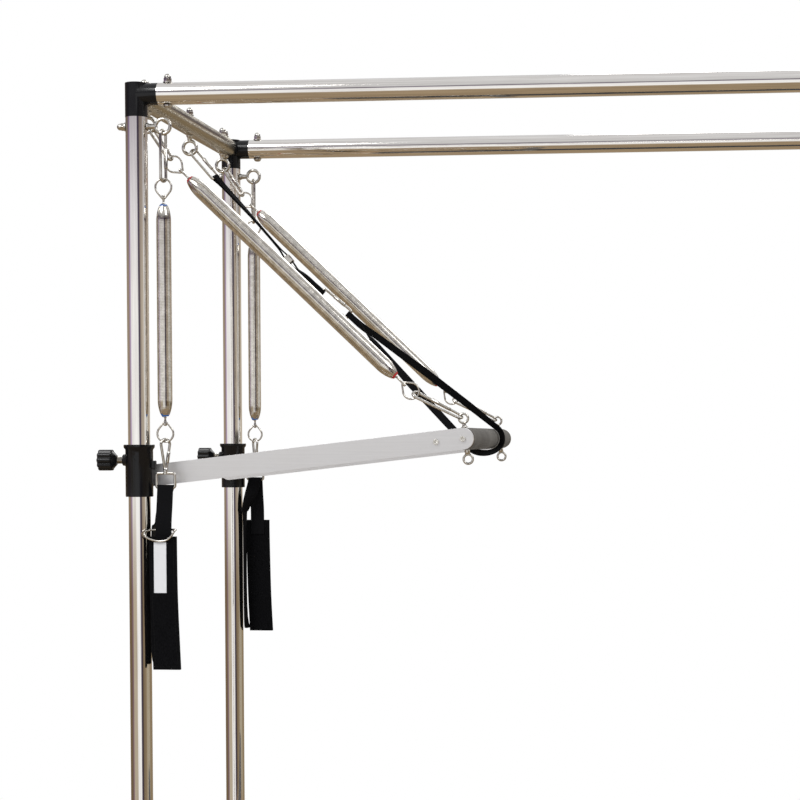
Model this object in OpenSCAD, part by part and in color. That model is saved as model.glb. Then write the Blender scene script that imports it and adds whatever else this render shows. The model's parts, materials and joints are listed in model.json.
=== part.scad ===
// Trapeze table for pilates: a tubular frame over a padded bed, with a sprung push bar,
// two short springs with hand loops and a safety strap.
// Millimetres. X runs along the table, Y across it to the back, Z up from the floor.

/* [Frame] */
// Distance along the table between the uprights' axes
frame_l = 2150; // [1900:10:2300]
// Distance across the table between the uprights' axes
frame_w = 700; // [640:10:800]
// Height of the top rails' axes above the floor
rail_h = 2100; // [2000:10:2200]
// Outside diameter of the frame tubes
tube_d = 38.1; // [37:0.1:39]
// Wall of the frame tubes
tube_wall = 2; // [1.5:0.1:2.5]
// Length of a corner fitting's collar from the tubes' crossing
collar_l = 40; // [36:1:44]
// Length of a corner fitting's spigot inside a tube
spigot_l = 42; // [38:1:50]

/* [Fasteners and eyes] */
// Diameter of the frame bolts
bolt_d = 8; // [6:1:8]
// Distance of a corner bolt from the crossing, on a rail or an upright
bolt_off = 56; // [54:1:62]
// Distance of a corner bolt from the crossing, on a crossbar
cross_bolt_off = 52; // [50:1:56]
// Diameter of a bolt's washer
washer_d = 16; // [14:1:17]
// Height of a dome nut
dome_nut_h = 14; // [12:1:16]
// Outside diameter of a frame eye
eye_d = 32; // [30:1:34]
// Wire of a frame eye
eye_wire = 6.4; // [5.6:0.1:7]
// Distance of an eye's centre from the tube's axis, under a crossbar
cross_eye_drop = 42; // [41:1:46]
// Distance of an eye's centre from the upright's axis
post_eye_reach = 47; // [46:1:50]

/* [Bed] */
// Height of the mattress top above the floor
bed_h = 600; // [500:10:700]
// Thickness of the mattress
mattress_t = 65; // [50:1:80]
// Thickness of the mattress cover's skin
cover_t = 2; // [1.5:0.5:3]
// Thickness of the bed slats
slat_t = 20; // [15:1:25]
// Width of a bed slat
slat_w = 90; // [70:5:100]
// Number of bed slats
slat_count = 13; // [9:1:15]
// Height of the bed beams
beam_h = 130; // [110:5:150]
// Thickness of the bed beams
beam_t = 32; // [28:1:40]
// Height of a post bracket
bracket_h = 60; // [50:5:80]
// Wall of a post bracket's collar
bracket_wall = 5; // [4:0.5:6]
// Diameter of a foot's flange
foot_d = 120; // [100:5:130]
// Thickness of a foot's flange
foot_t = 8; // [6:1:10]
// Height of a foot's socket
foot_socket_h = 50; // [40:5:70]
// Thickness of a foot's rubber pad
pad_t = 5; // [4:1:8]

/* [Sleeves and knobs] */
// Height of a sliding sleeve
sleeve_h = 91; // [88:1:96]
// Outside diameter of a sleeve
sleeve_d = 48; // [47:0.5:49]
// Diameter of a sleeve's top flange
sleeve_flange_d = 54; // [52:1:55]
// Wall of the liner between a sleeve and its upright
liner_wall = 1.8; // [1.5:0.1:2]
// Depth of the sleeves' tops below the rails' axes
sleeve_drop = 609; // [590:1:640]
// Height of the pivot above a sleeve's lower edge
pivot_rise = 35; // [32:1:38]
// Height of the clamp knob above a sleeve's lower edge
knob_rise = 64; // [62:1:68]
// Diameter of a clamp knob
knob_d = 37; // [32:1:40]
// Length of a clamp knob's fluted part
knob_l = 25; // [20:1:30]
// Diameter of a clamp knob's stud
stud_d = 10; // [8:1:11]

/* [Push bar] */
// Length of an arm between the pivot and the bar's axis
arm_l = 570; // [560:1:576]
// Angle by which the arms rise towards the bar
arm_rise = 6.5; // [5:0.5:8]
// Height of an arm's flat section
arm_h = 38; // [36:1:40]
// Thickness of an arm
arm_t = 8; // [6:0.5:9]
// Gap between an arm and its sleeve's body
arm_gap = 5; // [4:0.5:6]
// Diameter of the bar's grip
grip_d = 39; // [36:1:40]
// Diameter of the bar's tube
bar_d = 32; // [30:0.5:33]
// Wall of the bar's tube
bar_wall = 2; // [1.5:0.5:3]
// Distance between an arm's two screws
screw_gap = 47; // [44:1:50]
// Distance of the bar's eyes from the bar's axis
bar_eye_reach = 36; // [34:1:38]
// Outside diameter of a bar eye
bar_eye_d = 20.5; // [20:0.5:22]
// Wire of a bar eye
bar_eye_wire = 4.2; // [4:0.1:4.5]

/* [Springs] */
// Distance of the long springs from the table's middle plane
long_y = 276; // [274:1:278]
// Distance between a long spring's top and bottom ring centres
long_reach = 585; // [583:1:586]
// Angle of the long springs below the horizontal
long_slope = 43.7; // [43.5:0.1:43.9]
// Length of a long spring's coil
long_coil_l = 512; // [490:1:520]
// Outside diameter of a long spring's coil
long_coil_d = 29; // [26:1:31]
// Turns of a long spring's coil, drawn as one broad strip
long_turns = 18; // [14:1:20]
// Distance between the centres of a crossbar eye and a long spring's top ring
top_hook_reach = 84; // [83:1:85]
// Angle of the long springs' top hooks below the horizontal
top_hook_slope = 56.4; // [56:0.1:57]
// Distance between the centres of a post eye and a short spring's top ring
short_hook_reach = 105; // [95:1:110]
// Distance between a short spring's top and bottom ring centres
short_reach = 429; // [420:1:440]
// Length of a short spring's coil
short_coil_l = 371; // [350:1:375]
// Outside diameter of a short spring's coil
short_coil_d = 26; // [23:1:27]
// Turns of a short spring's coil, drawn as one broad strip
short_turns = 14; // [10:1:16]
// Gap between the turns of a coil
turn_gap = 0.8; // [0.6:0.1:1]
// Thickness of a coil's strip
coil_wire = 3; // [2.5:0.1:3.2]
// Outside diameter of a spring's ring
ring_d = 32; // [31:0.5:34]
// Play that a low hook leaves in its ring at rest
pull_slack = 4.3; // [3.5:0.1:5]
// Wire of a spring's ring
ring_wire = 3.5; // [3:0.1:4]
// Wire of a hook
hook_wire = 5; // [4:0.1:5.2]
// Width of a hook between its wires' axes
hook_w = 13; // [12.5:0.5:15]

/* [Hand loops] */
// Length of a loop's snap hook between its wires' axes
snap_l = 62; // [56:1:66]
// Width of a snap hook's bow
snap_w = 24; // [20:1:26]
// Width of the ring that carries a loop's webbing
web_ring_w = 37; // [35:1:40]
// Height of the ring that carries a loop's webbing
web_ring_h = 30; // [26:1:32]
// Wire of the ring that carries a loop's webbing
web_ring_wire = 4; // [3:0.5:4]
// Width of a loop's webbing
web_w = 28; // [24:1:30]
// Thickness of a loop's webbing
web_t = 2.4; // [2:0.1:3]
// Length of a loop's webbing down to its band
web_l = 82; // [70:1:100]
// Width of a loop's padded band
band_w = 48; // [40:1:50]
// Thickness of a loop's padded band
band_t = 8; // [6:0.5:9]
// Length of a loop's padded band
band_l = 232; // [200:1:260]
// Width of the blank label on the front band
label_w = 25; // [20:1:30]
// Length of the blank label on the front band
label_l = 88; // [70:1:100]

/* [Safety strap] */
// Distance of the strap's eye behind the table's middle plane
strap_y = 15; // [5:1:25]
// Width of the strap's webbing
strap_w = 11; // [10:0.5:12]
// Room beside the strap's webbing in its hooks and its adjuster
strap_room = 1; // [0.5:0.1:2]
// Thickness of the strap's webbing
strap_t = 2; // [1.5:0.1:2.5]
// Angle of the strap's upper part below the horizontal
strap_slope = 50.5; // [49:0.5:52]
// Angle by which the slack strap bends up below its adjuster
strap_bend = 10.5; // [8:0.5:12]
// Distance from the strap's eye to the end of the top hook
strap_hook_l = 76; // [70:1:80]
// Distance from the strap's eye to the adjuster
adjuster_l = 288; // [280:1:296]
// Distance from the strap's eye to the lower hook's start
strap_snap_l = 378; // [370:1:384]
// Distance from the strap's eye to the lower hook's end
strap_upper_l = 446; // [440:1:452]
// Slack between the strap and the bar's grip
strap_slack = 3; // [2.5:0.1:4]
// Distance of the strap's back strand from the table's middle plane, at the bar
strand_back_y = 80; // [60:1:100]
// Distance of the strap's front strand from the table's middle plane, at the bar
strand_front_y = -50; // [-70:1:-30]

/* [Hidden] */
$fn = 48;

// Gap where one body lies against another
seat = 0.3;
// Radial clearance of a turning or threaded fit
fit = 0.08;
// Radial clearance of a bolt in its hole
bolt_play = 0.25;
// What a cut runs past the face it opens
past = 1;

// Colours, as the photograph shows them
steel = [0.80, 0.78, 0.75];
bright = [0.88, 0.88, 0.87];
black = [0.07, 0.07, 0.08];
aluminium = [0.83, 0.84, 0.85];
foam_grey = [0.40, 0.37, 0.34];
maple = [0.84, 0.70, 0.50];
vinyl = [0.10, 0.10, 0.11];

post_x = frame_l / 2;
post_y = frame_w / 2;
tube_r = tube_d / 2;
bore_r = tube_r - tube_wall;
spigot_r = bore_r - fit;
bolt_r = bolt_d / 2;
hole_r = bolt_r + bolt_play;
washer_t = 1.6;
head_h = 4.5;
head_r = washer_d / 2 - 1;
nut_flats_r = 7.2;
nut_hex_h = dome_nut_h * 0.45;

// Sleeves, arms and bar
sleeve_top = rail_h - sleeve_drop;
sleeve_low = sleeve_top - sleeve_h;
pivot_z = sleeve_low + pivot_rise;
knob_z = sleeve_low + knob_rise;
sleeve_r = sleeve_d / 2;
liner_in = tube_r + fit;
liner_out = liner_in + liner_wall;
sleeve_in = liner_out + fit;
arm_out_y = post_y - sleeve_r - arm_gap;
arm_in_y = arm_out_y - arm_t;
pivot = [-post_x, 0, pivot_z];
bar_at = pivot + arm_l * [cos(arm_rise), 0, sin(arm_rise)];
pivot_bolt_r = 4;
pivot_head_r = 6.5;
pivot_head_h = 5;
pivot_washer_r = 12;
plug_t = 5;
plug_spigot_l = 24;
tube_end_y = arm_in_y - plug_t;
screw_r = 2.5;
screw_head_r = 5;
screw_head_h = 3;
screw_l = arm_t + plug_t + 18;
bar_eye_shank_r = 3;
bar_eye_mid = (bar_eye_d - bar_eye_wire) / 2;
bar_eye_in = bar_eye_mid - bar_eye_wire / 2;

// Eyes and rings
eye_mid = (eye_d - eye_wire) / 2;
eye_in = eye_mid - eye_wire / 2;
ring_mid = (ring_d - ring_wire) / 2;
ring_in = ring_mid - ring_wire / 2;
hook_r = hook_wire / 2;
eye_hook = eye_in - hook_r - seat;
ring_hook = ring_in - hook_r - seat;
bar_eye_hook = bar_eye_in - hook_r - seat;

// Chain of a long spring, in the plane of its hooks
long_eye = [-post_x, 0, rail_h - cross_eye_drop];
long_top = long_eye + top_hook_reach * [cos(top_hook_slope), 0, -sin(top_hook_slope)];
long_low = long_top + long_reach * [cos(long_slope), 0, -sin(long_slope)];
bar_eye_up = bar_at + bar_eye_reach * [-sin(arm_rise), 0, cos(arm_rise)];
low_hook_top = long_low + (ring_hook - pull_slack) * [cos(long_slope), 0, -sin(long_slope)];
low_hook_v = bar_eye_up - low_hook_top;
low_hook_slope = atan2(-low_hook_v[2], low_hook_v[0]);
low_hook_l = norm(low_hook_v) - bar_eye_hook;
neck_r = 2;
collar_in = 1.5;

// Chain of a short spring, straight down from its eye
short_x = -post_x + post_eye_reach;
short_eye_z = rail_h - bolt_off;
short_top_z = short_eye_z - short_hook_reach;
short_low_z = short_top_z - short_reach;
snap_top_z = short_low_z - ring_hook;
snap_low_z = snap_top_z - snap_l;
web_ring_top_z = snap_low_z + hook_wire;
web_top_z = web_ring_top_z - web_ring_h;
band_top_z = web_top_z - web_l;
band_low_z = band_top_z - band_l;
band_y = 22;
strand_x = -22.5;

// Safety strap
strap_eye = [-post_x, strap_y, rail_h - cross_eye_drop];
strap_bend_l = adjuster_l + 20;
strap_low_part = strap_slope - strap_bend;
strap_end = strap_eye + strap_bend_l * [cos(strap_slope), 0, -sin(strap_slope)]
    + (strap_upper_l - strap_bend_l) * [cos(strap_low_part), 0, -sin(strap_low_part)];
strap_run = bar_at - strap_end;
strap_low_slope = atan2(-strap_run[2], strap_run[0]);
wrap_r = grip_d / 2 + strap_slack;

// Bed
bracket_r = tube_r + bracket_wall;
beam_out_y = post_y - bracket_r - 1;
beam_top = bed_h - mattress_t - slat_t;
bracket_z = beam_top - beam_h / 2;
bracket_bolts_x = [beam_t + washer_d / 2 + 4, beam_t + washer_d / 2 + 32];
slat_pitch = (frame_l - slat_w) / (slat_count - 1);
post_low = pad_t + foot_t;

module rod(a, b, d) {
    v = b - a;
    translate(a)
        rotate([0, acos(v[2] / norm(v)), atan2(v[1], v[0])])
            cylinder(d = d, h = norm(v));
}

// A shaft along X or Y from one place to another, at the origin's height
module x_shaft(x0, x1, r) {
    translate([x0, 0, 0])
        rotate([0, 90, 0])
            cylinder(r = r, h = x1 - x0);
}
module y_shaft(y0, y1, r) {
    translate([0, y0, 0])
        rotate([-90, 0, 0])
            cylinder(r = r, h = y1 - y0);
}

// The four corners, each seen from inside: X towards the middle, Y towards the middle
module corners() {
    for (sx = [0, 1], sy = [0, 1])
        mirror([sx, 0, 0])
            mirror([0, sy, 0])
                translate([-post_x, -post_y, 0])
                    children();
}
module left_corners() {
    for (sy = [0, 1])
        mirror([0, sy, 0])
            translate([-post_x, -post_y, 0])
                children();
}
module both_sides() {
    for (sy = [0, 1])
        mirror([0, sy, 0])
            children();
}
module tube(r_out, r_in, l) {
    difference() {
        cylinder(r = r_out, h = l);
        translate([0, 0, -past])
            cylinder(r = r_in, h = l + 2 * past);
    }
}

// Ring in the plane of X and Z
module ring(mid, wire) {
    rotate([90, 0, 0])
        rotate_extrude()
            translate([mid, 0])
                circle(d = wire);
}
// Half ring in the plane of X and Y, open towards +X
module half_ring(mid, wire) {
    rotate([0, 0, 90])
        rotate_extrude(angle = 180)
            translate([mid, 0])
                circle(d = wire);
}
// Wire link in the plane of X and Y, from the origin's wire axis along +X
module link(l, w, wire) {
    translate([w / 2, 0, 0])
        half_ring(w / 2, wire);
    translate([l - w / 2, 0, 0])
        rotate([0, 0, 180])
            half_ring(w / 2, wire);
    for (s = [-1, 1])
        translate([0, s * w / 2, 0])
            x_shaft(w / 2, l - w / 2, wire / 2);
}
// A gate's hinge sleeve on one leg of a link
module gate(l, w, wire) {
    translate([0, w / 2, 0])
        x_shaft(l * 0.35, l * 0.75, wire / 2 + 0.8);
}
module hook(l, w = hook_w) {
    link(l, w, hook_wire);
    gate(l, w, hook_wire);
}
// Hook for webbing: the end at l is a straight bar, and so is the one at the origin where asked
module web_hook(l, w, both_ends = false) {
    leg_r = hook_r - 0.2;
    start = both_ends ? 0 : w / 2;
    if (!both_ends)
        translate([w / 2, 0, 0])
            half_ring(w / 2, hook_wire);
    for (x = both_ends ? [0, l] : [l])
        translate([x, 0, 0])
            y_shaft(-w / 2 - hook_r, w / 2 + hook_r, hook_r);
    for (s = [-1, 1])
        translate([0, s * w / 2, 0])
            x_shaft(start, l, leg_r);
    gate(l, w, hook_wire);
}

// Moves its children to a point, with +X turned down by a slope
module aimed(at, slope) {
    translate(at)
        rotate([0, slope, 0])
            children();
}

// Frame
module upright() {
    translate([0, 0, post_low])
        difference() {
            tube(tube_r, bore_r, rail_h - collar_l - post_low);
            translate([0, 0, rail_h - bolt_off - post_low])
                x_shaft(-tube_d, tube_d, hole_r);
        }
}
module placed_upright(sx, sy) {
    color(steel)
        mirror([sx, 0, 0])
            mirror([0, sy, 0])
                translate([-post_x, -post_y, 0])
                    upright();
}
module front_left_upright() { placed_upright(0, 0); }
module back_left_upright() { placed_upright(0, 1); }
module front_right_upright() { placed_upright(1, 0); }
module back_right_upright() { placed_upright(1, 1); }

module top_rail() {
    half = post_x - collar_l;
    difference() {
        x_shaft(-half, half, tube_r);
        x_shaft(-half - past, half + past, bore_r);
        for (s = [-1, 1])
            translate([s * (post_x - bolt_off), 0, -tube_d])
                cylinder(r = hole_r, h = 2 * tube_d);
    }
}
module front_top_rail() {
    color(steel)
        translate([0, -post_y, rail_h])
            top_rail();
}
module back_top_rail() {
    color(steel)
        translate([0, post_y, rail_h])
            top_rail();
}

// Places along a crossbar where something passes through it, from the middle plane
cross_bolt_y = post_y - cross_bolt_off;
module crossbar(holes) {
    half = post_y - collar_l;
    difference() {
        y_shaft(-half, half, tube_r);
        y_shaft(-half - past, half + past, bore_r);
        for (y = holes)
            translate([0, y, -tube_d])
                cylinder(r = hole_r, h = 2 * tube_d);
    }
}
module left_crossbar() {
    color(steel)
        translate([-post_x, 0, rail_h])
            crossbar([-cross_bolt_y, -long_y, strap_y, long_y, cross_bolt_y]);
}
module right_crossbar() {
    color(steel)
        translate([post_x, 0, rail_h])
            crossbar([-cross_bolt_y, -long_y, long_y, cross_bolt_y]);
}

// Three collars that meet in a sharp outer corner
// The post's collar runs up to a flat top, and the two rails' collars meet it
module corner_shell() {
    proud = 0.4;
    x_shaft(0, collar_l, tube_r);
    y_shaft(0, collar_l, tube_r);
    translate([0, 0, -collar_l])
        cylinder(r = tube_r + proud, h = collar_l + tube_r + proud);
}
module corner_fitting() {
    reach = collar_l + spigot_l;
    difference() {
        union() {
            corner_shell();
            x_shaft(tube_r, reach, spigot_r);
            y_shaft(tube_r, reach, spigot_r);
            translate([0, 0, -reach])
                cylinder(r = spigot_r, h = reach - tube_r);
        }
        translate([bolt_off, 0, -tube_d])
            cylinder(r = hole_r, h = 2 * tube_d);
        for (y = [cross_bolt_off, post_y - long_y])
            translate([0, y, -tube_d])
                cylinder(r = hole_r, h = 2 * tube_d);
        translate([0, 0, -bolt_off])
            x_shaft(-tube_d, tube_d, hole_r);
    }
}
module corner_fittings() {
    color(black)
        translate([0, 0, rail_h])
            corners()
                corner_fitting();
}

// Bolt through a tube along Z: its head is below, its thread reaches into a dome nut above
grip_up = tube_r + washer_t;
module pan_head() {
    rotate_extrude()
        polygon([[0, 0], [head_r, 0], [head_r, -1.5], [head_r - 2, -3.6], [0, -head_h]]);
}
module tube_bolt() {
    translate([0, 0, -grip_up])
        union() {
            cylinder(r = bolt_r, h = 2 * grip_up + nut_hex_h + 2);
            pan_head();
        }
}
module washer(r_out) {
    tube(r_out, bolt_r + bolt_play, washer_t);
}
module washer_pair() {
    translate([0, 0, tube_r])
        washer(washer_d / 2);
    translate([0, 0, -tube_r - washer_t])
        washer(washer_d / 2);
}
// Dome nut on +Z from the origin, with its blind thread
module dome_nut() {
    dome_r = nut_flats_r * 0.82;
    difference() {
        union() {
            cylinder(r = nut_flats_r, h = nut_hex_h, $fn = 6);
            translate([0, 0, nut_hex_h])
                cylinder(r = dome_r, h = dome_nut_h - nut_hex_h - dome_r);
            translate([0, 0, dome_nut_h - dome_r])
                intersection() {
                    sphere(r = dome_r);
                    translate([-dome_r, -dome_r, 0])
                        cube([2 * dome_r, 2 * dome_r, dome_r]);
                }
        }
        translate([0, 0, -past])
            cylinder(r = bolt_r + fit, h = past + nut_hex_h + 2.4);
    }
}
// Where the corner bolts stand, from a corner seen from inside
module corner_bolt_places() {
    translate([bolt_off, 0, rail_h])
        children();
    translate([0, cross_bolt_off, rail_h])
        children();
}
// A bracket bolt runs out of the bed, through the side beam and the bracket's tab
tab_in_y = post_y - beam_out_y - 5;
bracket_bolt_l = beam_t + 5 + 2 * washer_t;
module bracket_bolt_places() {
    for (x = bracket_bolts_x)
        translate([x, post_y - beam_out_y + beam_t + washer_t, bracket_z])
            rotate([90, 0, 0])
                children();
}
module bracket_bolt() {
    cylinder(r = bolt_r, h = bracket_bolt_l + nut_hex_h + 2);
    pan_head();
}
module frame_bolts() {
    color(bright)
        corners() {
            corner_bolt_places()
                tube_bolt();
            bracket_bolt_places()
                bracket_bolt();
        }
}
module frame_washers() {
    color(bright) {
        corners() {
            corner_bolt_places()
                washer_pair();
            bracket_bolt_places() {
                washer(washer_d / 2);
                translate([0, 0, bracket_bolt_l - washer_t])
                    washer(washer_d / 2);
            }
            translate([-tube_r - washer_t, 0, short_eye_z])
                rotate([0, 90, 0])
                    washer(washer_d / 2);
        }
        for (x = [-post_x, post_x], y = [-long_y, long_y])
            translate([x, y, rail_h + tube_r])
                washer(washer_d / 2);
        translate([-post_x, strap_y, rail_h + tube_r])
            washer(washer_d / 2);
    }
}
module dome_nuts() {
    color(bright) {
        corners() {
            corner_bolt_places()
                translate([0, 0, grip_up])
                    dome_nut();
            bracket_bolt_places()
                translate([0, 0, bracket_bolt_l])
                    dome_nut();
            translate([-grip_up, 0, short_eye_z])
                rotate([0, -90, 0])
                    dome_nut();
        }
        for (x = [-post_x, post_x], y = [-long_y, long_y])
            translate([x, y, rail_h + grip_up])
                dome_nut();
        translate([-post_x, strap_y, rail_h + grip_up])
            dome_nut();
    }
}

// Eyebolt along +Z from its eye's centre, through a tube whose axis lies at the reach
module eyebolt(reach) {
    shoulder = reach - tube_r;
    ring(eye_mid, eye_wire);
    translate([0, 0, eye_mid])
        cylinder(r = bolt_r, h = reach + grip_up + nut_hex_h + 2 - eye_mid);
    translate([0, 0, shoulder - 4])
        cylinder(r1 = bolt_r + 1, r2 = head_r, h = 4);
}
module post_eyebolts() {
    color(bright)
        corners()
            translate([post_eye_reach, 0, short_eye_z])
                rotate([0, -90, 0])
                    eyebolt(post_eye_reach);
}
module crossbar_eyebolts() {
    color(bright) {
        for (x = [-post_x, post_x], y = [-long_y, long_y])
            translate([x, y, rail_h - cross_eye_drop])
                eyebolt(cross_eye_drop);
        translate(strap_eye)
            eyebolt(cross_eye_drop);
    }
}

module upright_feet() {
    color(black)
        corners()
            translate([0, 0, pad_t])
                difference() {
                    union() {
                        cylinder(d = foot_d, h = foot_t);
                        cylinder(r = tube_r + 5, h = foot_t + foot_socket_h);
                    }
                    translate([0, 0, foot_t])
                        cylinder(r = tube_r + fit, h = foot_socket_h + past);
                }
}
module foot_pads() {
    color(black)
        corners()
            cylinder(d = foot_d - 6, h = pad_t);
}

// Bed
module side_beam() {
    translate([-post_x, beam_out_y - beam_t, beam_top - beam_h])
        difference() {
            cube([frame_l, beam_t, beam_h]);
            for (x = bracket_bolts_x, s = [0, 1])
                translate([s == 0 ? x : frame_l - x, 0, beam_h / 2])
                    y_shaft(-past, beam_t + past, hole_r);
        }
}
module front_side_beam() {
    color(maple)
        mirror([0, 1, 0])
            side_beam();
}
module back_side_beam() {
    color(maple)
        side_beam();
}
module bed_end_beams() {
    inner = beam_out_y - beam_t;
    color(maple)
        for (x = [-post_x, post_x - beam_t])
            translate([x, -inner, beam_top - beam_h])
                cube([beam_t, 2 * inner, beam_h]);
}
module bed_slats() {
    color(maple)
        for (i = [0:slat_count - 1])
            translate([-post_x + i * slat_pitch, -beam_out_y, beam_top])
                cube([slat_w, 2 * beam_out_y, slat_t]);
}
module post_brackets() {
    color(black)
        corners()
            translate([0, 0, bracket_z - bracket_h / 2])
                difference() {
                    union() {
                        cylinder(r = bracket_r, h = bracket_h);
                        translate([0, tab_in_y, 0])
                            cube([bracket_bolts_x[1] + 14, 5, bracket_h]);
                    }
                    translate([0, 0, -past])
                        cylinder(r = tube_r + fit, h = bracket_h + 2 * past);
                    for (x = bracket_bolts_x)
                        translate([x, 0, bracket_h / 2])
                            y_shaft(0, 2 * bracket_r, hole_r);
                }
}

// Cushion with a crown, drawn-in sides and rounded ends, resting on the slats
cushion_sides = 28;
cushion_power = 0.34;
cushion_steps = [-1, -0.998, -0.992, -0.982, -0.97, -0.5, 0, 0.5, 0.97, 0.982, 0.992, 0.998, 1];
cushion_crown = 0.06;
end_share = 0.03;
function bulge(c) = sign(c) * pow(abs(c), cushion_power);
function drawn(u) = sqrt(1 - pow(max(0, abs(u) - 1 + end_share) / end_share, 2) * 0.98);
module cushion(l, w, t) {
    n = cushion_sides;
    m = len(cushion_steps);
    points = [for (u = cushion_steps, i = [0:n - 1])
        let (c = cos(360 * i / n),
            s = sin(360 * i / n),
            crown = s > 0 ? 1 - cushion_crown * c * c : 1)
        [u * l / 2,
            w / 2 * bulge(c) * (0.94 + 0.06 * drawn(u)),
            t / 2 * bulge(s) * (0.4 + 0.6 * drawn(u)) * crown]];
    sides = [for (j = [0:m - 2], i = [0:n - 1], k = [0, 1])
        let (a = j * n + i,
            b = j * n + (i + 1) % n)
        k == 0 ? [a, a + n, b] : [b, a + n, b + n]];
    ends = [[for (i = [0:n - 1]) i], [for (i = [0:n - 1]) m * n - 1 - i]];
    polyhedron(points, concat(sides, ends));
}
mattress_l = frame_l - 2 * (bracket_r + 12);
mattress_w = 2 * beam_out_y - 6;
mattress_z = bed_h - mattress_t / 2;
module mattress_cover() {
    color(vinyl)
        translate([0, 0, mattress_z])
            difference() {
                cushion(mattress_l, mattress_w, mattress_t - seat);
                cushion(mattress_l - 2 * cover_t, mattress_w - 2 * cover_t,
                    mattress_t - seat - 2 * cover_t);
            }
}
module mattress_foam() {
    inset = 2 * cover_t + 2;
    color([0.9, 0.88, 0.8])
        translate([0, 0, mattress_z])
            cushion(mattress_l - inset - 6, mattress_w - inset, mattress_t - seat - inset);
}

// Sliding sleeve on the front left upright's axis, its pivot boss towards +Y
flange_h = 5;
boss_end = sleeve_r + 8;
module sleeve() {
    difference() {
        union() {
            cylinder(r = sleeve_r, h = sleeve_h);
            translate([0, 0, sleeve_h - flange_h])
                cylinder(d = sleeve_flange_d, h = flange_h);
            translate([0, 0, sleeve_h - flange_h - 4])
                cylinder(r1 = sleeve_r, r2 = sleeve_flange_d / 2, h = 4);
            translate([0, 0, knob_rise])
                x_shaft(-boss_end, 0, stud_d / 2 + 4.5);
            translate([0, 0, knob_rise])
                rotate([0, -90, 0])
                    cylinder(r1 = stud_d / 2 + 14, r2 = stud_d / 2 + 4.5, h = sleeve_r + 3);
            translate([0, 0, pivot_rise])
                y_shaft(0, sleeve_r + arm_gap - seat, 15);
            translate([0, -5, knob_rise - 16])
                cube([sleeve_r + 6, 10, 15]);
        }
        translate([0, 0, -past])
            cylinder(r = sleeve_in, h = sleeve_h + 2 * past);
        translate([0, 0, knob_rise])
            x_shaft(-boss_end - past, 0, stud_d / 2 + fit);
        translate([0, 0, pivot_rise])
            y_shaft(0, sleeve_r + arm_gap + past, pivot_bolt_r + fit);
        translate([0, -sleeve_r, knob_rise + 3])
            rotate([90, 0, 0])
                cylinder(r = 4, h = 4, center = true, $fn = 3);
    }
}
module front_sleeve() {
    color(black)
        translate([-post_x, -post_y, sleeve_low])
            sleeve();
}
module back_sleeve() {
    color(black)
        mirror([0, 1, 0])
            translate([-post_x, -post_y, sleeve_low])
                sleeve();
}
module sleeve_liners() {
    color([0.85, 0.85, 0.82])
        left_corners()
            translate([0, 0, sleeve_low])
                difference() {
                    tube(liner_out, liner_in, sleeve_h);
                    translate([0, 0, knob_rise])
                        x_shaft(-sleeve_r, 0, stud_d / 2 + bolt_play);
                }
}
module pivot_bolts() {
    arm_face = sleeve_r + arm_gap + arm_t;
    color(bright)
        left_corners()
            translate([0, 0, pivot_z]) {
                y_shaft(sleeve_in + 0.5, arm_face + seat + washer_t, pivot_bolt_r);
                translate([0, arm_face + seat, 0])
                    difference() {
                        y_shaft(0, washer_t, pivot_washer_r);
                        y_shaft(-past, washer_t + past, pivot_bolt_r - 0.5);
                    }
                difference() {
                    translate([0, arm_face + seat + washer_t, 0])
                        y_shaft(0, pivot_head_h, pivot_head_r);
                    translate([0, arm_face + seat + washer_t + 2.5, 0])
                        rotate([-90, 0, 0])
                            cylinder(r = 3.4, h = pivot_head_h, $fn = 6);
                }
            }
}

// Clamp knob with its stud, its axis along X, its stud's tip against the upright
knob_in = boss_end + 7;
knob_taper = 8;
knob_out = knob_in + knob_taper + knob_l;
flutes = 14;
module clamp_knob() {
    difference() {
        union() {
            x_shaft(-knob_out, -knob_in - knob_taper, knob_d / 2);
            translate([-knob_in - knob_taper, 0, 0])
                rotate([0, 90, 0])
                    cylinder(r1 = knob_d / 2, r2 = stud_d / 2 + 2, h = knob_taper);
        }
        for (i = [0:flutes - 1])
            rotate([360 * i / flutes, 0, 0])
                translate([0, knob_d / 2 + 1.2, 0])
                    x_shaft(-knob_out - past, -knob_in - knob_taper + 3, 3);
    }
    x_shaft(-knob_in - 2, -tube_r - seat, stud_d / 2);
}
module front_clamp_knob() {
    color(black)
        translate([-post_x, -post_y, knob_z])
            clamp_knob();
}
module back_clamp_knob() {
    color(black)
        translate([-post_x, post_y, knob_z])
            clamp_knob();
}

// Push bar: in its own frame X runs along the arms from the pivot
module push_frame() {
    translate(pivot)
        rotate([0, -arm_rise, 0])
            children();
}
module arm() {
    push_frame()
        translate([0, -arm_in_y, 0])
            rotate([90, 0, 0])
                linear_extrude(arm_t)
                    difference() {
                        union() {
                            circle(d = arm_h);
                            translate([arm_l, 0])
                                circle(d = arm_h);
                            translate([0, -arm_h / 2])
                                square([arm_l, arm_h]);
                        }
                        circle(r = pivot_bolt_r + fit);
                        for (x = [arm_l - screw_gap, arm_l])
                            translate([x, 0])
                                circle(r = screw_r + fit);
                    }
}
module front_arm() {
    color(aluminium)
        arm();
}
module back_arm() {
    color(aluminium)
        mirror([0, 1, 0])
            arm();
}
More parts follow.
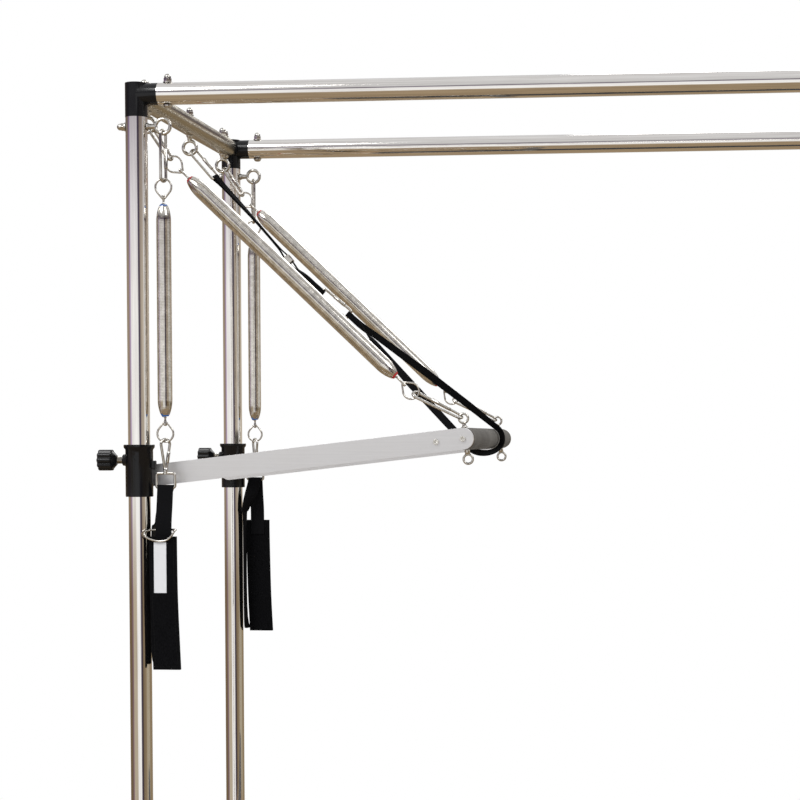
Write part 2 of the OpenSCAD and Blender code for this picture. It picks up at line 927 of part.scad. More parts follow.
// The hole for a bar eyebolt's shank
module eye_shank_hole() {
    for (s = [-1, 1])
        translate([0, s * long_y, -grip_d])
            cylinder(r = bar_eye_shank_r + bolt_play, h = 2 * grip_d);
}
module bar_tube() {
    color(steel)
        push_frame()
            translate([arm_l, 0, 0])
                difference() {
                    y_shaft(-tube_end_y, tube_end_y, bar_d / 2);
                    y_shaft(-tube_end_y - past, tube_end_y + past, bar_d / 2 - bar_wall);
                    eye_shank_hole();
                }
}
module bar_grip() {
    half = tube_end_y - 0.5;
    color(foam_grey)
        push_frame()
            translate([arm_l, 0, 0])
                difference() {
                    y_shaft(-half, half, grip_d / 2);
                    y_shaft(-half - past, half + past, bar_d / 2 + fit);
                    eye_shank_hole();
                }
}
module bar_end_plugs() {
    color(black)
        both_sides()
            push_frame()
                translate([arm_l, -arm_in_y, 0])
                    difference() {
                        union() {
                            y_shaft(0, plug_t, grip_d / 2);
                            y_shaft(0, plug_t + plug_spigot_l, bar_d / 2 - bar_wall - fit);
                            translate([-screw_gap, 0, 0])
                                y_shaft(0, plug_t, 12);
                            translate([-screw_gap, 0, -12])
                                cube([screw_gap, plug_t, 24]);
                        }
                        for (x = [-screw_gap, 0])
                            translate([x, 0, 0])
                                y_shaft(-past, screw_l, screw_r + fit);
                    }
}
module arm_screw(l) {
    difference() {
        y_shaft(-screw_head_h, 0, screw_head_r);
        for (a = [0, 90])
            rotate([0, a, 0])
                translate([-3, -screw_head_h - past, -0.6])
                    cube([6, past + 1.4, 1.2]);
    }
    y_shaft(-0.5, l, screw_r);
}
module arm_screws() {
    color(bright)
        both_sides()
            push_frame() {
                translate([arm_l, -arm_out_y, 0])
                    arm_screw(screw_l - 2);
                translate([arm_l - screw_gap, -arm_out_y, 0])
                    arm_screw(arm_t + plug_t);
            }
}
module bar_eyebolts() {
    color(bright)
        both_sides()
            push_frame()
                translate([arm_l, -long_y, 0]) {
                    translate([0, 0, bar_eye_reach])
                        ring(bar_eye_mid, bar_eye_wire);
                    translate([0, 0, -grip_d / 2 - 4])
                        cylinder(r = bar_eye_shank_r,
                            h = bar_eye_reach - bar_eye_mid + grip_d / 2 + 4);
                    translate([0, 0, grip_d / 2 + 0.1])
                        cylinder(r = 6, h = 1.5);
                    translate([0, 0, -bar_eye_reach])
                        ring(bar_eye_mid, bar_eye_wire);
                    difference() {
                        translate([0, 0, -bar_eye_reach + bar_eye_mid])
                            cylinder(r = bar_eye_shank_r + 1.6,
                                h = bar_eye_reach - bar_eye_mid - grip_d / 2 - 0.1);
                        translate([0, 0, -grip_d / 2 - 4 - fit])
                            cylinder(r = bar_eye_shank_r + fit, h = grip_d);
                    }
                }
}

// Long springs
module long_top_hooks() {
    color(bright)
        for (y = [-long_y, long_y])
            aimed(long_eye + [0, y, 0], top_hook_slope)
                translate([eye_hook, 0, 0])
                    hook(top_hook_reach - eye_hook - ring_hook);
}
// A spring's end ring at the origin, with its neck and the collar that holds the coil's end
module end_ring(neck, l, d) {
    ring(ring_mid, ring_wire);
    x_shaft(ring_mid, neck + collar_in, neck_r);
    x_shaft(neck - 1, neck + collar_in, coil_mid(turn_gap / 2, l, d) - seat);
}
long_neck = (long_reach - long_coil_l) / 2;
short_neck = (short_reach - short_coil_l) / 2;
module long_top_rings() {
    color(bright)
        for (y = [-long_y, long_y])
            aimed(long_top + [0, y, 0], long_slope)
                end_ring(long_neck, long_coil_l, long_coil_d);
}
module long_low_rings() {
    color(bright)
        for (y = [-long_y, long_y])
            aimed(long_low + [0, y, 0], long_slope)
                mirror([1, 0, 0])
                    end_ring(long_neck, long_coil_l, long_coil_d);
}
module long_low_hooks() {
    color(bright)
        for (y = [-long_y, long_y])
            aimed(low_hook_top + [0, y, 0], low_hook_slope)
                hook(low_hook_l);
}

// Coil along +X from the origin: one strip wound with tapering ends
coil_rings = 8;
end_mid_r = 4.9;
function coil_mid(x, l, d) =
    let (taper = 1.7 * d,
        near = min(min(x, l - x) / taper, 1),
        full = (d - coil_wire) / 2)
    end_mid_r + (full - end_mid_r) * sqrt(max(0, 1 - pow(1 - near, 2)));
function coil_points(l, d, turns) =
    let (pitch = l / (turns + 1),
        half = (pitch - turn_gap) / 2,
        profile = [[-half, 0], [-0.86 * half, 0.5], [0.86 * half, 0.5],
            [half, 0], [0.86 * half, -0.5], [-0.86 * half, -0.5]])
    [for (i = [0:turns * coil_rings], p = profile)
        let (x = pitch / 2 + i * pitch / coil_rings + p[0],
            r = coil_mid(x, l, d) + p[1] * coil_wire,
            a = 360 * i / coil_rings)
        [x, r * cos(a), r * sin(a)]];
module coil(l, d, turns) {
    n = turns * coil_rings;
    points = coil_points(l, d, turns);
    sides = [for (i = [0:n - 1], j = [0:5], k = [0, 1])
        let (a = i * 6 + j,
            b = i * 6 + (j + 1) % 6)
        k == 0 ? [a, b, a + 6] : [b, b + 6, a + 6]];
    ends = [[for (j = [0:5]) 5 - j], [for (j = [0:5]) n * 6 + j]];
    polyhedron(points, concat(sides, ends));
}
// The least distance between one turn's leading edge and the next turn's trailing edge
function least_gap(l, d, turns) =
    let (points = coil_points(l, d, turns))
    min([for (i = [0:(turns - 1) * coil_rings])
        norm(points[i * 6 + 3] - points[(i + coil_rings) * 6])]);
echo(long_coil_least_gap = least_gap(long_coil_l, long_coil_d, long_turns));
echo(short_coil_least_gap = least_gap(short_coil_l, short_coil_d, short_turns));

module long_spring(y) {
    color(steel)
        aimed(long_top + [0, y, 0], long_slope)
            translate([long_neck, 0, 0])
                coil(long_coil_l, long_coil_d, long_turns);
}
module front_long_spring() { long_spring(-long_y); }
module back_long_spring() { long_spring(long_y); }

// Short springs and hand loops, on the front side; the back side mirrors them
module short_links() {
    color(bright)
        translate([short_x, -post_y, 0]) {
            aimed([0, 0, short_eye_z - eye_hook], 90)
                hook(short_hook_reach - eye_hook - ring_hook);
            aimed([0, 0, short_top_z], 90)
                end_ring(short_neck, short_coil_l, short_coil_d);
        }
}
module short_spring() {
    color(steel)
        aimed([short_x, -post_y, short_top_z - short_neck], 90)
            coil(short_coil_l, short_coil_d, short_turns);
}
module low_ring() {
    color(bright)
        aimed([short_x, -post_y, short_low_z], -90)
            end_ring(short_neck, short_coil_l, short_coil_d);
}
// Snap hook whose bow hangs in the spring's ring, and the ring for the webbing
snap_turn = 50;
module snap_hook() {
    bow_r = (snap_w - hook_wire) / 2 - 1;
    swivel_h = 11;
    leg_low = [0, 0, -snap_l + swivel_h];
    rotate([0, 0, snap_turn]) {
        translate([0, 0, -bow_r])
            rotate([0, 90, 90])
                half_ring(bow_r, hook_wire - 1);
        for (s = [-1, 1])
            rod([s * bow_r, 0, 1 - bow_r], leg_low + [s * 1.5, 0, 0], hook_wire - 0.4);
    }
    translate([0, 0, -snap_l + 1])
        cylinder(d = hook_wire + 4, h = swivel_h);
}
module web_ring() {
    w = web_ring_w - web_ring_wire;
    h = web_ring_h - web_ring_wire;
    for (z = [-web_ring_wire / 2, -web_ring_wire / 2 - h])
        translate([0, 0, z])
            x_shaft(-w / 2, w / 2, web_ring_wire / 2);
    for (s = [-1, 1]) {
        translate([s * w / 2, 0, -web_ring_wire / 2 - h])
            cylinder(d = web_ring_wire, h = h);
        for (z = [-web_ring_wire / 2, -web_ring_wire / 2 - h])
            translate([s * w / 2, 0, z])
                sphere(d = web_ring_wire);
    }
}
module loop_hook() {
    color(bright)
        translate([short_x, -post_y, 0]) {
            difference() {
                translate([0, 0, snap_top_z])
                    snap_hook();
                translate([0, 0, web_ring_top_z - web_ring_wire / 2])
                    x_shaft(-web_ring_w, web_ring_w, web_ring_wire / 2 + seat);
            }
            translate([0, 0, web_ring_top_z])
                web_ring();
        }
}
// Webbing folded over its ring: the front run to the band, the back run edge-on to the band's foot
fold_r = web_ring_wire / 2 + seat;
fold_z = web_top_z + web_ring_wire / 2;
module loop_webbing() {
    run_y = -band_y + band_t / 2 + seat + web_t / 2;
    color(black)
        translate([short_x, -post_y, 0]) {
            translate([-web_w / 2, 0, fold_z])
                difference() {
                    x_shaft(0, web_w, fold_r + web_t);
                    x_shaft(-past, web_w + past, fold_r);
                }
            ribbon([[0, -fold_r - web_t / 2, fold_z - fold_r - web_t / 2],
                    [0, run_y, band_top_z + 20],
                    [0, run_y, band_top_z - 30]],
                [[1, 0, 0], [1, 0, 0], [1, 0, 0]], web_w, web_t);
            ribbon([[0, fold_r + web_t / 2, fold_z - fold_r - web_t / 2],
                    [-8, 7, fold_z - 30],
                    [strand_x + 2, 5, fold_z - 62],
                    [strand_x, 2, fold_z - 90],
                    [strand_x, -2, band_low_z + 30],
                    [strand_x + 8, -10, band_low_z + 10],
                    [strand_x + 12, run_y, band_low_z + 9]],
                [[1, 0, 0], [0.8, -0.6, 0], [0.25, -0.97, 0], [0, -1, 0], [0, -1, 0],
                    [0.5, -0.86, 0], [0.8, -0.6, 0]], web_w - 6, web_t);
        }
}
// Flat strip along points, each with the direction of its width
module ribbon(at, across, w, t) {
    n = len(at);
    function run(i) = at[min(i + 1, n - 1)] - at[max(i - 1, 0)];
    function unit(v) = v / norm(v);
    function side(i) = unit(across[i]);
    function face(i) = unit(cross(run(i), side(i)));
    points = [for (i = [0:n - 1], c = [[-1, -1], [1, -1], [1, 1], [-1, 1]])
        at[i] + c[0] * w / 2 * side(i) + c[1] * t / 2 * face(i)];
    sides = [for (i = [0:n - 2], j = [0:3], k = [0, 1])
        let (a = i * 4 + j,
            b = i * 4 + (j + 1) % 4)
        k == 0 ? [a, a + 4, b] : [b, a + 4, b + 4]];
    polyhedron(points, concat(sides, [[0, 1, 2, 3],
        [for (j = [0:3]) (n - 1) * 4 + 3 - j]]));
}
module loop_band() {
    color(black)
        translate([short_x - band_w / 2, -post_y - band_y - band_t / 2, band_low_z])
            cube([band_w, band_t, band_l]);
}
// Slide for the webbing, lying a little askew on the band
module loop_buckle() {
    bar_r = 1.6;
    open_h = 9;
    left = -band_w / 2 - 3;
    right = band_w / 2 - 6;
    color(bright)
        translate([short_x, -post_y - band_y - band_t / 2 - bar_r - seat, band_top_z + 2])
            rotate([0, 4, 0]) {
                for (z = [0, open_h])
                    translate([0, 0, z])
                        x_shaft(left, right, bar_r);
                for (x = [left + bar_r, right - bar_r])
                    translate([x, 0, 0])
                        cylinder(r = bar_r - 0.1, h = open_h);
            }
}
module loop_label() {
    color([0.93, 0.93, 0.92])
        translate([short_x - band_w / 2 + 5, -post_y - band_y - band_t / 2 - 0.6,
                band_top_z - 6 - label_l])
            cube([label_w, 0.6, label_l]);
}
module front_short_links() { short_links(); }
module front_short_spring() { short_spring(); }
module front_low_ring() { low_ring(); }
module front_loop_hook() { loop_hook(); }
module front_loop_webbing() { loop_webbing(); }
module front_loop_buckle() { loop_buckle(); }
module front_loop_band() { loop_band(); }
module front_loop_label() { loop_label(); }
module back_short_links() { mirror([0, 1, 0]) short_links(); }
module back_short_spring() { mirror([0, 1, 0]) short_spring(); }
module back_low_ring() { mirror([0, 1, 0]) low_ring(); }
module back_loop_hook() { mirror([0, 1, 0]) loop_hook(); }
module back_loop_webbing() { mirror([0, 1, 0]) loop_webbing(); }
module back_loop_band() { mirror([0, 1, 0]) loop_band(); }

// Safety strap: hooks, upper webbing and adjuster hang from the crossbar's middle eye
module strap_frame() {
    aimed(strap_eye, strap_slope)
        children();
}
// The part below the bend, with distances still counted from the eye
module strap_low_frame() {
    strap_frame()
        aimed([strap_bend_l, 0, 0], -strap_bend)
            translate([-strap_bend_l, 0, 0])
                children();
}
strap_hook_w = strap_w + strap_room + hook_wire;
strap_fold_r = hook_r + seat;
strap_lay = strap_fold_r + strap_t / 2;
strap_pair = strap_t / 2 + 0.2;
adjuster_rise = 2.5;
module strap_hooks() {
    color(bright) {
        strap_frame()
            translate([eye_hook, 0, 0])
                web_hook(strap_hook_l - eye_hook, strap_hook_w);
        strap_low_frame()
            translate([strap_snap_l, 0, 0])
                web_hook(strap_upper_l - strap_snap_l, strap_hook_w, true);
    }
}
// Webbing sewn round a hook's end wire, whose axis runs along Y through the origin
module strap_fold() {
    difference() {
        y_shaft(-strap_w / 2, strap_w / 2, strap_fold_r + strap_t);
        y_shaft(-strap_w, strap_w, strap_fold_r);
    }
}
module strap_upper() {
    function low(x, z) = [strap_bend_l + (x - strap_bend_l) * cos(strap_bend) - z * sin(strap_bend),
        0, (x - strap_bend_l) * sin(strap_bend) + z * cos(strap_bend)];
    color(black) {
        strap_frame()
            translate([strap_hook_l, 0, 0])
                strap_fold();
        strap_low_frame()
            translate([strap_snap_l, 0, 0])
                strap_fold();
        strap_frame()
            for (s = [-1, 1])
                ribbon([[strap_hook_l + 1, 0, s * strap_lay],
                        [strap_hook_l + 24, 0, s * strap_pair],
                        [adjuster_l - 30, 0, s * strap_pair],
                        [adjuster_l - 10, 0, s * (strap_t / 2 + adjuster_rise)],
                        [adjuster_l + 10, 0, s * (strap_t / 2 + adjuster_rise)],
                        low(adjuster_l + 30, s * strap_pair),
                        low(strap_snap_l - 20, s * strap_pair),
                        low(strap_snap_l - 1, s * strap_lay)],
                    [for (i = [0:7]) [0, 1, 0]], strap_w, strap_t);
    }
}
module strap_adjuster() {
    inner_h = 2 * (strap_t + adjuster_rise + seat);
    inner_w = strap_w + strap_room;
    color(bright)
        strap_frame()
            translate([adjuster_l, 0, 0]) {
                difference() {
                    cube([16, inner_w + 6, inner_h + 3], center = true);
                    cube([16 + 2 * past, inner_w, inner_h], center = true);
                }
                cube([6, inner_w + 2, 2 * (adjuster_rise - seat)], center = true);
            }
}
// The strap's lower loop: down over the bar, under it and back up
wrap_steps = 10;
module strap_loop() {
    lift = wrap_r + strap_t / 2;
    start = 90 - strap_low_slope;
    turn = -200;
    function wrap(u) = bar_at + [lift * cos(start + turn * u),
        strand_back_y + (strand_front_y - strand_back_y) * u,
        lift * sin(start + turn * u)];
    function lay(u) = let (a = start + turn * u,
            run = [lift * sin(a), -(strand_back_y - strand_front_y) / (200 * PI / 180),
                -lift * cos(a)])
        cross(run, [cos(a), 0, sin(a)]);
    wrap_u = [for (i = [0:wrap_steps]) i / wrap_steps];
    low_n = [sin(strap_low_slope), 0, cos(strap_low_slope)];
    low_run = [cos(strap_low_slope), 0, -sin(strap_low_slope)];
    color(black) {
        translate(strap_end)
            strap_fold();
        ribbon(concat([strap_end + strap_lay * low_n + low_run],
                [for (u = wrap_u) wrap(u)],
                [strap_end - strap_lay * low_n + low_run]),
            concat([[0, -1, 0]], [for (u = wrap_u) lay(u)], [[0, -1, 0]]), strap_w, strap_t);
    }
}

front_left_upright();
back_left_upright();
front_right_upright();
back_right_upright();
front_top_rail();
back_top_rail();
left_crossbar();
right_crossbar();
corner_fittings();
frame_bolts();
frame_washers();
dome_nuts();
post_eyebolts();
crossbar_eyebolts();
upright_feet();
foot_pads();
front_side_beam();
back_side_beam();
bed_end_beams();
bed_slats();
post_brackets();
mattress_cover();
mattress_foam();
front_sleeve();
back_sleeve();
sleeve_liners();
pivot_bolts();
front_clamp_knob();
back_clamp_knob();
front_arm();
back_arm();
bar_tube();
bar_grip();
bar_end_plugs();
arm_screws();
bar_eyebolts();
long_top_hooks();
long_top_rings();
front_long_spring();
back_long_spring();
long_low_rings();
long_low_hooks();
front_short_links();
front_short_spring();
front_low_ring();
front_loop_hook();
front_loop_webbing();
front_loop_buckle();
front_loop_band();
front_loop_label();
back_short_links();
back_short_spring();
back_low_ring();
back_loop_hook();
back_loop_webbing();
back_loop_band();
strap_hooks();
strap_upper();
strap_adjuster();
strap_loop();
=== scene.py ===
# %% [markdown]
# # A pilates trapeze table
#
# A tubular frame stands over a padded bed. On its left posts slide two black sleeves, and a push
# bar swings between them on two flat arms. Two long springs pull the bar up, two short springs
# carry hand loops, and a safety strap holds the bar from above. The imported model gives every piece
# its place. This lesson gives the pieces their fine shapes and their finishes.

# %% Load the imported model
import json
import math
import random

import bpy
from mathutils import Matrix, Vector
from mathutils.bvhtree import BVHTree


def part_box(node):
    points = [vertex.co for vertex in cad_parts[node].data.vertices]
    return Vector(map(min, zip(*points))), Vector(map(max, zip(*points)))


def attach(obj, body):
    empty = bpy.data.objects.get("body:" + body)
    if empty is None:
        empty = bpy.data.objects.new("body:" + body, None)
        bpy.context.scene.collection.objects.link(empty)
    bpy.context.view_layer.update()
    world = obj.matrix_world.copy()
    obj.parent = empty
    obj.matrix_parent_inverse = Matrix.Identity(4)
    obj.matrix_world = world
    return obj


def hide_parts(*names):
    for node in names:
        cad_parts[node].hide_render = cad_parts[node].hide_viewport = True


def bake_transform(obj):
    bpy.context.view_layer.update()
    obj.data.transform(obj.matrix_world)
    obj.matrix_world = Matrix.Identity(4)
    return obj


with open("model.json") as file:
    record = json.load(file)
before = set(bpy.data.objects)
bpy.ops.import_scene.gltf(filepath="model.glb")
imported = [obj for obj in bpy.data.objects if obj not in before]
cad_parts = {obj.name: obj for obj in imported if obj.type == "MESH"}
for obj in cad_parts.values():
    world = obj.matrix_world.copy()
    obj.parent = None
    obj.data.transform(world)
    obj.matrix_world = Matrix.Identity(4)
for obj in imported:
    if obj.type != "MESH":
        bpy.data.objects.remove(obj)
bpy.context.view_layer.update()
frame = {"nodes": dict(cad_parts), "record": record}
nodes = frame["nodes"]
body_of_node = {node: body for body, names in frame["record"]["behaviour"]["bodies"].items()
                for node in names}

# %% [markdown]
# ## Camera
#
# The photograph is a crop of a wider picture, so its optical centre lies below and to the right of
# the middle. The lens shift repeats that crop. The place and the turn come from a fit of the
# model's own points, such as eyes, rings and tube edges, to their places in the photograph.

# %% Camera
FOCAL_PIXELS, IMAGE_PIXELS, SENSOR = 2081.4, 800, 36.0
SHIFT_X, SHIFT_Y = -0.14, 0.125
CAMERA_AT = Vector((-0.0582, -3.9060, 1.4995))
CAMERA_YAW, CAMERA_PITCH, CAMERA_ROLL = (math.radians(a) for a in (5.810, -1.690, 0.179))
QUARTER = math.radians(90)

camera_data = bpy.data.cameras.new("photo_camera")
camera = bpy.data.objects.new("photo_camera", camera_data)
bpy.context.scene.collection.objects.link(camera)
bpy.context.scene.camera = camera
camera_data.sensor_width = SENSOR
camera_data.lens = FOCAL_PIXELS / IMAGE_PIXELS * SENSOR
camera_data.shift_x, camera_data.shift_y = SHIFT_X, SHIFT_Y
turn = (Matrix.Rotation(CAMERA_YAW, 3, "Z") @ Matrix.Rotation(CAMERA_PITCH, 3, "X")
        @ Matrix.Rotation(CAMERA_ROLL, 3, "Y") @ Matrix.Rotation(QUARTER, 3, "X"))
camera.matrix_world = Matrix.Translation(CAMERA_AT) @ turn.to_4x4()
print("lens", round(camera_data.lens, 2), "mm")

# %% [markdown]
# ## Node trees
#
# The world, the finishes and the floor are all built from nodes. Three short helpers add a node with
# its values, a colour ramp, and a choice between two shaders, so that the steps below say only what
# they need.

# %% Helpers for node trees
def put(tree, kind, **values):
    """Adds a node and sets its properties and inputs by name; underscores stand for spaces."""
    made = tree.nodes.new(kind)
    for key, value in values.items():
        if key in made.bl_rna.properties:
            setattr(made, key, value)
        else:
            made.inputs[key.replace("_", " ")].default_value = value
    return made


def ramp(tree, stops, source):
    """The colour that a ramp with (place, colour) stops gives for a source."""
    made = tree.nodes.new("ShaderNodeValToRGB")
    while len(made.color_ramp.elements) < len(stops):
        made.color_ramp.elements.new(0.5)
    for element, (place, colour) in zip(made.color_ramp.elements, stops):
        element.position = place
        element.color = (*colour, 1)
    tree.links.new(source, made.inputs["Fac"])
    return made.outputs["Color"]


def either(tree, choice, plain, chosen):
    """The plain shader where the choice is 0, and the chosen one where it is 1."""
    made = tree.nodes.new("ShaderNodeMixShader")
    for source, place in ((choice, "Fac"), (plain, 1), (chosen, 2)):
        tree.links.new(source, made.inputs[place])
    return made.outputs[0]


# %% [markdown]
# ## The room that the metal shows
#
# Polished tubes show the room around them, so the room decides how they look. A plain white world
# would make them white from edge to edge, and a picture of a room would need a file. Two colour
# ramps are enough for its tones: one goes up from the warm wooden floor past white walls and a
# thin dark beam to the pale ceiling, and one goes round about and tints the walls near eye level.
# A last brown tint lies on the lower half of the walls, where they catch the floor's light. Three
# ramps from black to white say how far the tints reach.

# %% The room
WOOD, WALL, CEILING = (0.36, 0.27, 0.17), (1.0, 1.0, 1.0), (0.74, 0.74, 0.75)
BEAM, VIOLET, BROWN = (0.13, 0.10, 0.15), (0.58, 0.46, 0.66), (0.34, 0.27, 0.20)
TAN, DARK, PALE = (0.56, 0.49, 0.40), (0.07, 0.06, 0.09), (0.82, 0.82, 0.80)
FLOOR_LIGHT = (0.52, 0.45, 0.34, 1)
OFF, ON = (0, 0, 0), (1, 1, 1)
BY_HEIGHT = [(0.0, WOOD), (0.26, WOOD), (0.31, TAN), (0.335, WALL), (0.53, WALL),
             (0.565, (0.70, 0.68, 0.72)), (0.60, BEAM), (0.645, (0.30, 0.29, 0.31)),
             (0.70, (0.66, 0.66, 0.67)), (1.0, CEILING)]
BY_TURN = [(0.0, WALL), (0.165, WALL), (0.185, VIOLET), (0.225, (0.36, 0.28, 0.38)), (0.26, BROWN),
           (0.44, (0.42, 0.34, 0.26)), (0.52, TAN), (0.655, TAN), (0.69, PALE), (0.775, PALE),
           (0.80, TAN), (0.885, (0.40, 0.34, 0.28)), (0.90, DARK), (0.94, (0.10, 0.08, 0.12)),
           (0.96, WALL), (1.0, WALL)]
EYE_LEVEL = [(0.28, OFF), (0.36, ON), (0.60, ON), (0.70, OFF)]
TINTED_SIDES = [(0.0, OFF), (0.045, OFF), (0.065, ON), (0.90, ON), (0.94, OFF)]
TINTED_HEIGHT = [(0.31, OFF), (0.36, ON), (0.465, ON), (0.495, OFF)]


def times(tree, share):
    """A node that multiplies one colour by another, as far as the share says."""
    made = put(tree, "ShaderNodeMix", data_type="RGBA", blend_type="MULTIPLY")
    tree.links.new(share, made.inputs["Factor"])
    return made


def room_colour(tree, direction):
    """The colour of the room in a direction: by height, and round about near eye level."""
    links = tree.links
    split = tree.nodes.new("ShaderNodeSeparateXYZ")
    links.new(direction, split.inputs[0])
    height = put(tree, "ShaderNodeMapRange", From_Min=-1.0, From_Max=1.0)
    links.new(split.outputs["Z"], height.inputs["Value"])
    angle = put(tree, "ShaderNodeMath", operation="ARCTAN2")
    links.new(split.outputs["X"], angle.inputs[0])
    links.new(split.outputs["Y"], angle.inputs[1])
    about = put(tree, "ShaderNodeMapRange", From_Min=-math.pi, From_Max=math.pi)
    links.new(angle.outputs[0], about.inputs["Value"])
    up, round_about = height.outputs["Result"], about.outputs["Result"]
    walls = times(tree, ramp(tree, EYE_LEVEL, up))
    links.new(ramp(tree, BY_HEIGHT, up), walls.inputs[6])
    links.new(ramp(tree, BY_TURN, round_about), walls.inputs[7])
    tinted = put(tree, "ShaderNodeMath", operation="MULTIPLY")
    links.new(ramp(tree, TINTED_SIDES, round_about), tinted.inputs[0])
    links.new(ramp(tree, TINTED_HEIGHT, up), tinted.inputs[1])
    room = times(tree, tinted.outputs[0])
    links.new(walls.outputs[2], room.inputs[6])
    room.inputs[7].default_value = FLOOR_LIGHT
    return room.outputs[2]


# %% [markdown]
# ## Studio
#
# The camera sees a plain white backdrop, the metal sees the room, and everything else is lit by
# plain white light. Three square lamps high above the frame add soft light from two sides and from
# behind, and stay out of the long reflections in the tubes.

# %% World
AMBIENT = 0.55
WHITE = (1, 1, 1, 1)
scene = bpy.context.scene
scene.view_settings.view_transform = "Standard"
scene.world = bpy.data.worlds.new("studio")
scene.world.use_nodes = True


def build_world(tree):
    """White to the camera; the room to metal; plain white light to everything else."""
    tree.nodes.clear()
    where = tree.nodes.new("ShaderNodeTexCoord")
    room = put(tree, "ShaderNodeBackground", Strength=1.0)
    tree.links.new(room_colour(tree, where.outputs["Generated"]), room.inputs["Color"])
    soft = put(tree, "ShaderNodeBackground", Color=WHITE, Strength=AMBIENT)
    white = put(tree, "ShaderNodeBackground", Color=WHITE, Strength=1.0)
    ray = tree.nodes.new("ShaderNodeLightPath")
    around = either(tree, ray.outputs["Is Glossy Ray"], soft.outputs[0], room.outputs[0])
    seen = either(tree, ray.outputs["Is Camera Ray"], around, white.outputs[0])
    tree.links.new(seen, tree.nodes.new("ShaderNodeOutputWorld").inputs["Surface"])


build_world(scene.world.node_tree)
print("world nodes", len(scene.world.node_tree.nodes))

# %% Lamps
LAMPS = (("key", (-3.0, -3.6, 5.2), (-0.4, 0, 1.2), 2.2, 130),
         ("fill", (3.2, -3.0, 5.0), (0, 0, 1.0), 2.4, 80),
         ("rim", (0.5, 3.6, 4.8), (0, 0, 1.3), 2.2, 70))


def soft_lamp(name, at, towards, size, power):
    """A square soft light at a place, turned towards another."""
    data = bpy.data.lights.new(name, "AREA")
    data.shape = "SQUARE"
    data.size = size
    data.energy = power
    lamp = bpy.data.objects.new(name, data)
    scene.collection.objects.link(lamp)
    lamp.location = at
    lamp.rotation_euler = (Vector(towards) - Vector(at)).to_track_quat("-Z", "Y").to_euler()


for lamp in LAMPS:
    soft_lamp(*lamp)
print("lamps", len(bpy.data.lights))

# %% [markdown]
# ## Tools for shaping
#
# Each piece starts as a primitive or an outline, is shaped with operators, and ends with applied
# modifiers. A few short helpers keep the selection clean, because an operator works on everything
# that is selected. A finished piece has its place in its mesh.

# %% Selection and edit mode
MERGE = 1e-5


def alone(obj):
    """Selects one object only and makes it active."""
    bpy.ops.object.select_all(action="DESELECT")
    obj.select_set(True)
    bpy.context.view_layer.objects.active = obj
    return obj


def settle(obj):
    """Puts an object's place, turn and size into its mesh."""
    alone(obj)
    bpy.ops.object.transform_apply(location=True, rotation=True, scale=True)
    return obj


def bake_modifiers(obj):
    """Applies an object's modifiers in their order."""
    alone(obj)
    for modifier in list(obj.modifiers):
        bpy.ops.object.modifier_apply(modifier=modifier.name)
    return obj


def edit(obj, *steps):
    """Runs edit mode steps on the whole mesh of one object."""
    alone(obj)
    bpy.ops.object.mode_set(mode="EDIT")
    bpy.ops.mesh.select_all(action="SELECT")
    for step in steps:
        step()
    bpy.ops.object.mode_set(mode="OBJECT")
    return obj


# %% Steps for edit mode, shading and eased edges
def merge():
    """An edit mode step that joins points at the same place."""
    bpy.ops.mesh.remove_doubles(threshold=MERGE)


def face_out():
    """An edit mode step that turns all faces outwards."""
    bpy.ops.mesh.normals_make_consistent(inside=False)


def smooth(obj, angle=40):
    """Smooth shading, with edges sharper than the angle kept."""
    alone(obj)
    bpy.ops.object.shade_smooth_by_angle(angle=math.radians(angle))
    return obj


def ease(obj, width, segments=2, angle=35):
    """Rounds the sharp edges, as a file or a mould does, and keeps flat faces flat."""
    rounding = obj.modifiers.new("ease", "BEVEL")
    rounding.width = width
    rounding.segments = segments
    rounding.limit_method = "ANGLE"
    rounding.angle_limit = math.radians(angle)
    bake_modifiers(obj)
    smooth(obj, 50)
    flat = obj.modifiers.new("flat", "WEIGHTED_NORMAL")
    flat.keep_sharp = True
    return bake_modifiers(obj)


# %% [markdown]
# ## Ways to start a piece
#
# Most pieces here start in one of four ways: turned on a lathe from an outline, bent from wire, bent
# to a ring, or cut from a block. Each way is a helper that gives a named object with its place in
# its mesh.

# %% Outlines, places and turned pieces
ACROSS, UP = Vector((0, 1, 0)), Vector((0, 0, 1))


def mesh_object(name, points, edges=(), faces=()):
    """An object from points and how they join."""
    mesh = bpy.data.meshes.new(name)
    mesh.from_pydata([Vector(p) for p in points], list(edges), list(faces))
    obj = bpy.data.objects.new(name, mesh)
    scene.collection.objects.link(obj)
    return obj


def aim(at, along):
    """A place whose Z axis points along a direction, and its Y axis along the world's if it can."""
    up, side = Vector(along).normalized(), ACROSS
    if abs(up.y) > 0.99:
        side = up.cross(Vector((1, 0, 0)))
    out = side.cross(up).normalized()
    axes = Matrix((out, up.cross(out), up)).transposed()
    return Matrix.Translation(Vector(at)) @ axes.to_4x4()


def turned(name, outline, place=Matrix.Identity(4), steps=40, loop=False):
    """Spins an outline of (radius, height) points about Z, then moves it to its place."""
    count = len(outline)
    edges = [(i, i + 1) for i in range(count - 1)] + ([(count - 1, 0)] if loop else [])
    obj = mesh_object(name, [(r, 0, z) for r, z in outline], edges)
    edit(obj, lambda: bpy.ops.mesh.spin(steps=steps, angle=math.tau, center=(0, 0, 0),
                                        axis=(0, 0, 1), use_auto_merge=False))
    edit(obj, merge, face_out)
    obj.data.transform(place)
    return smooth(obj)


# %% Rings, wires and boxes
RING_SIDES = 12


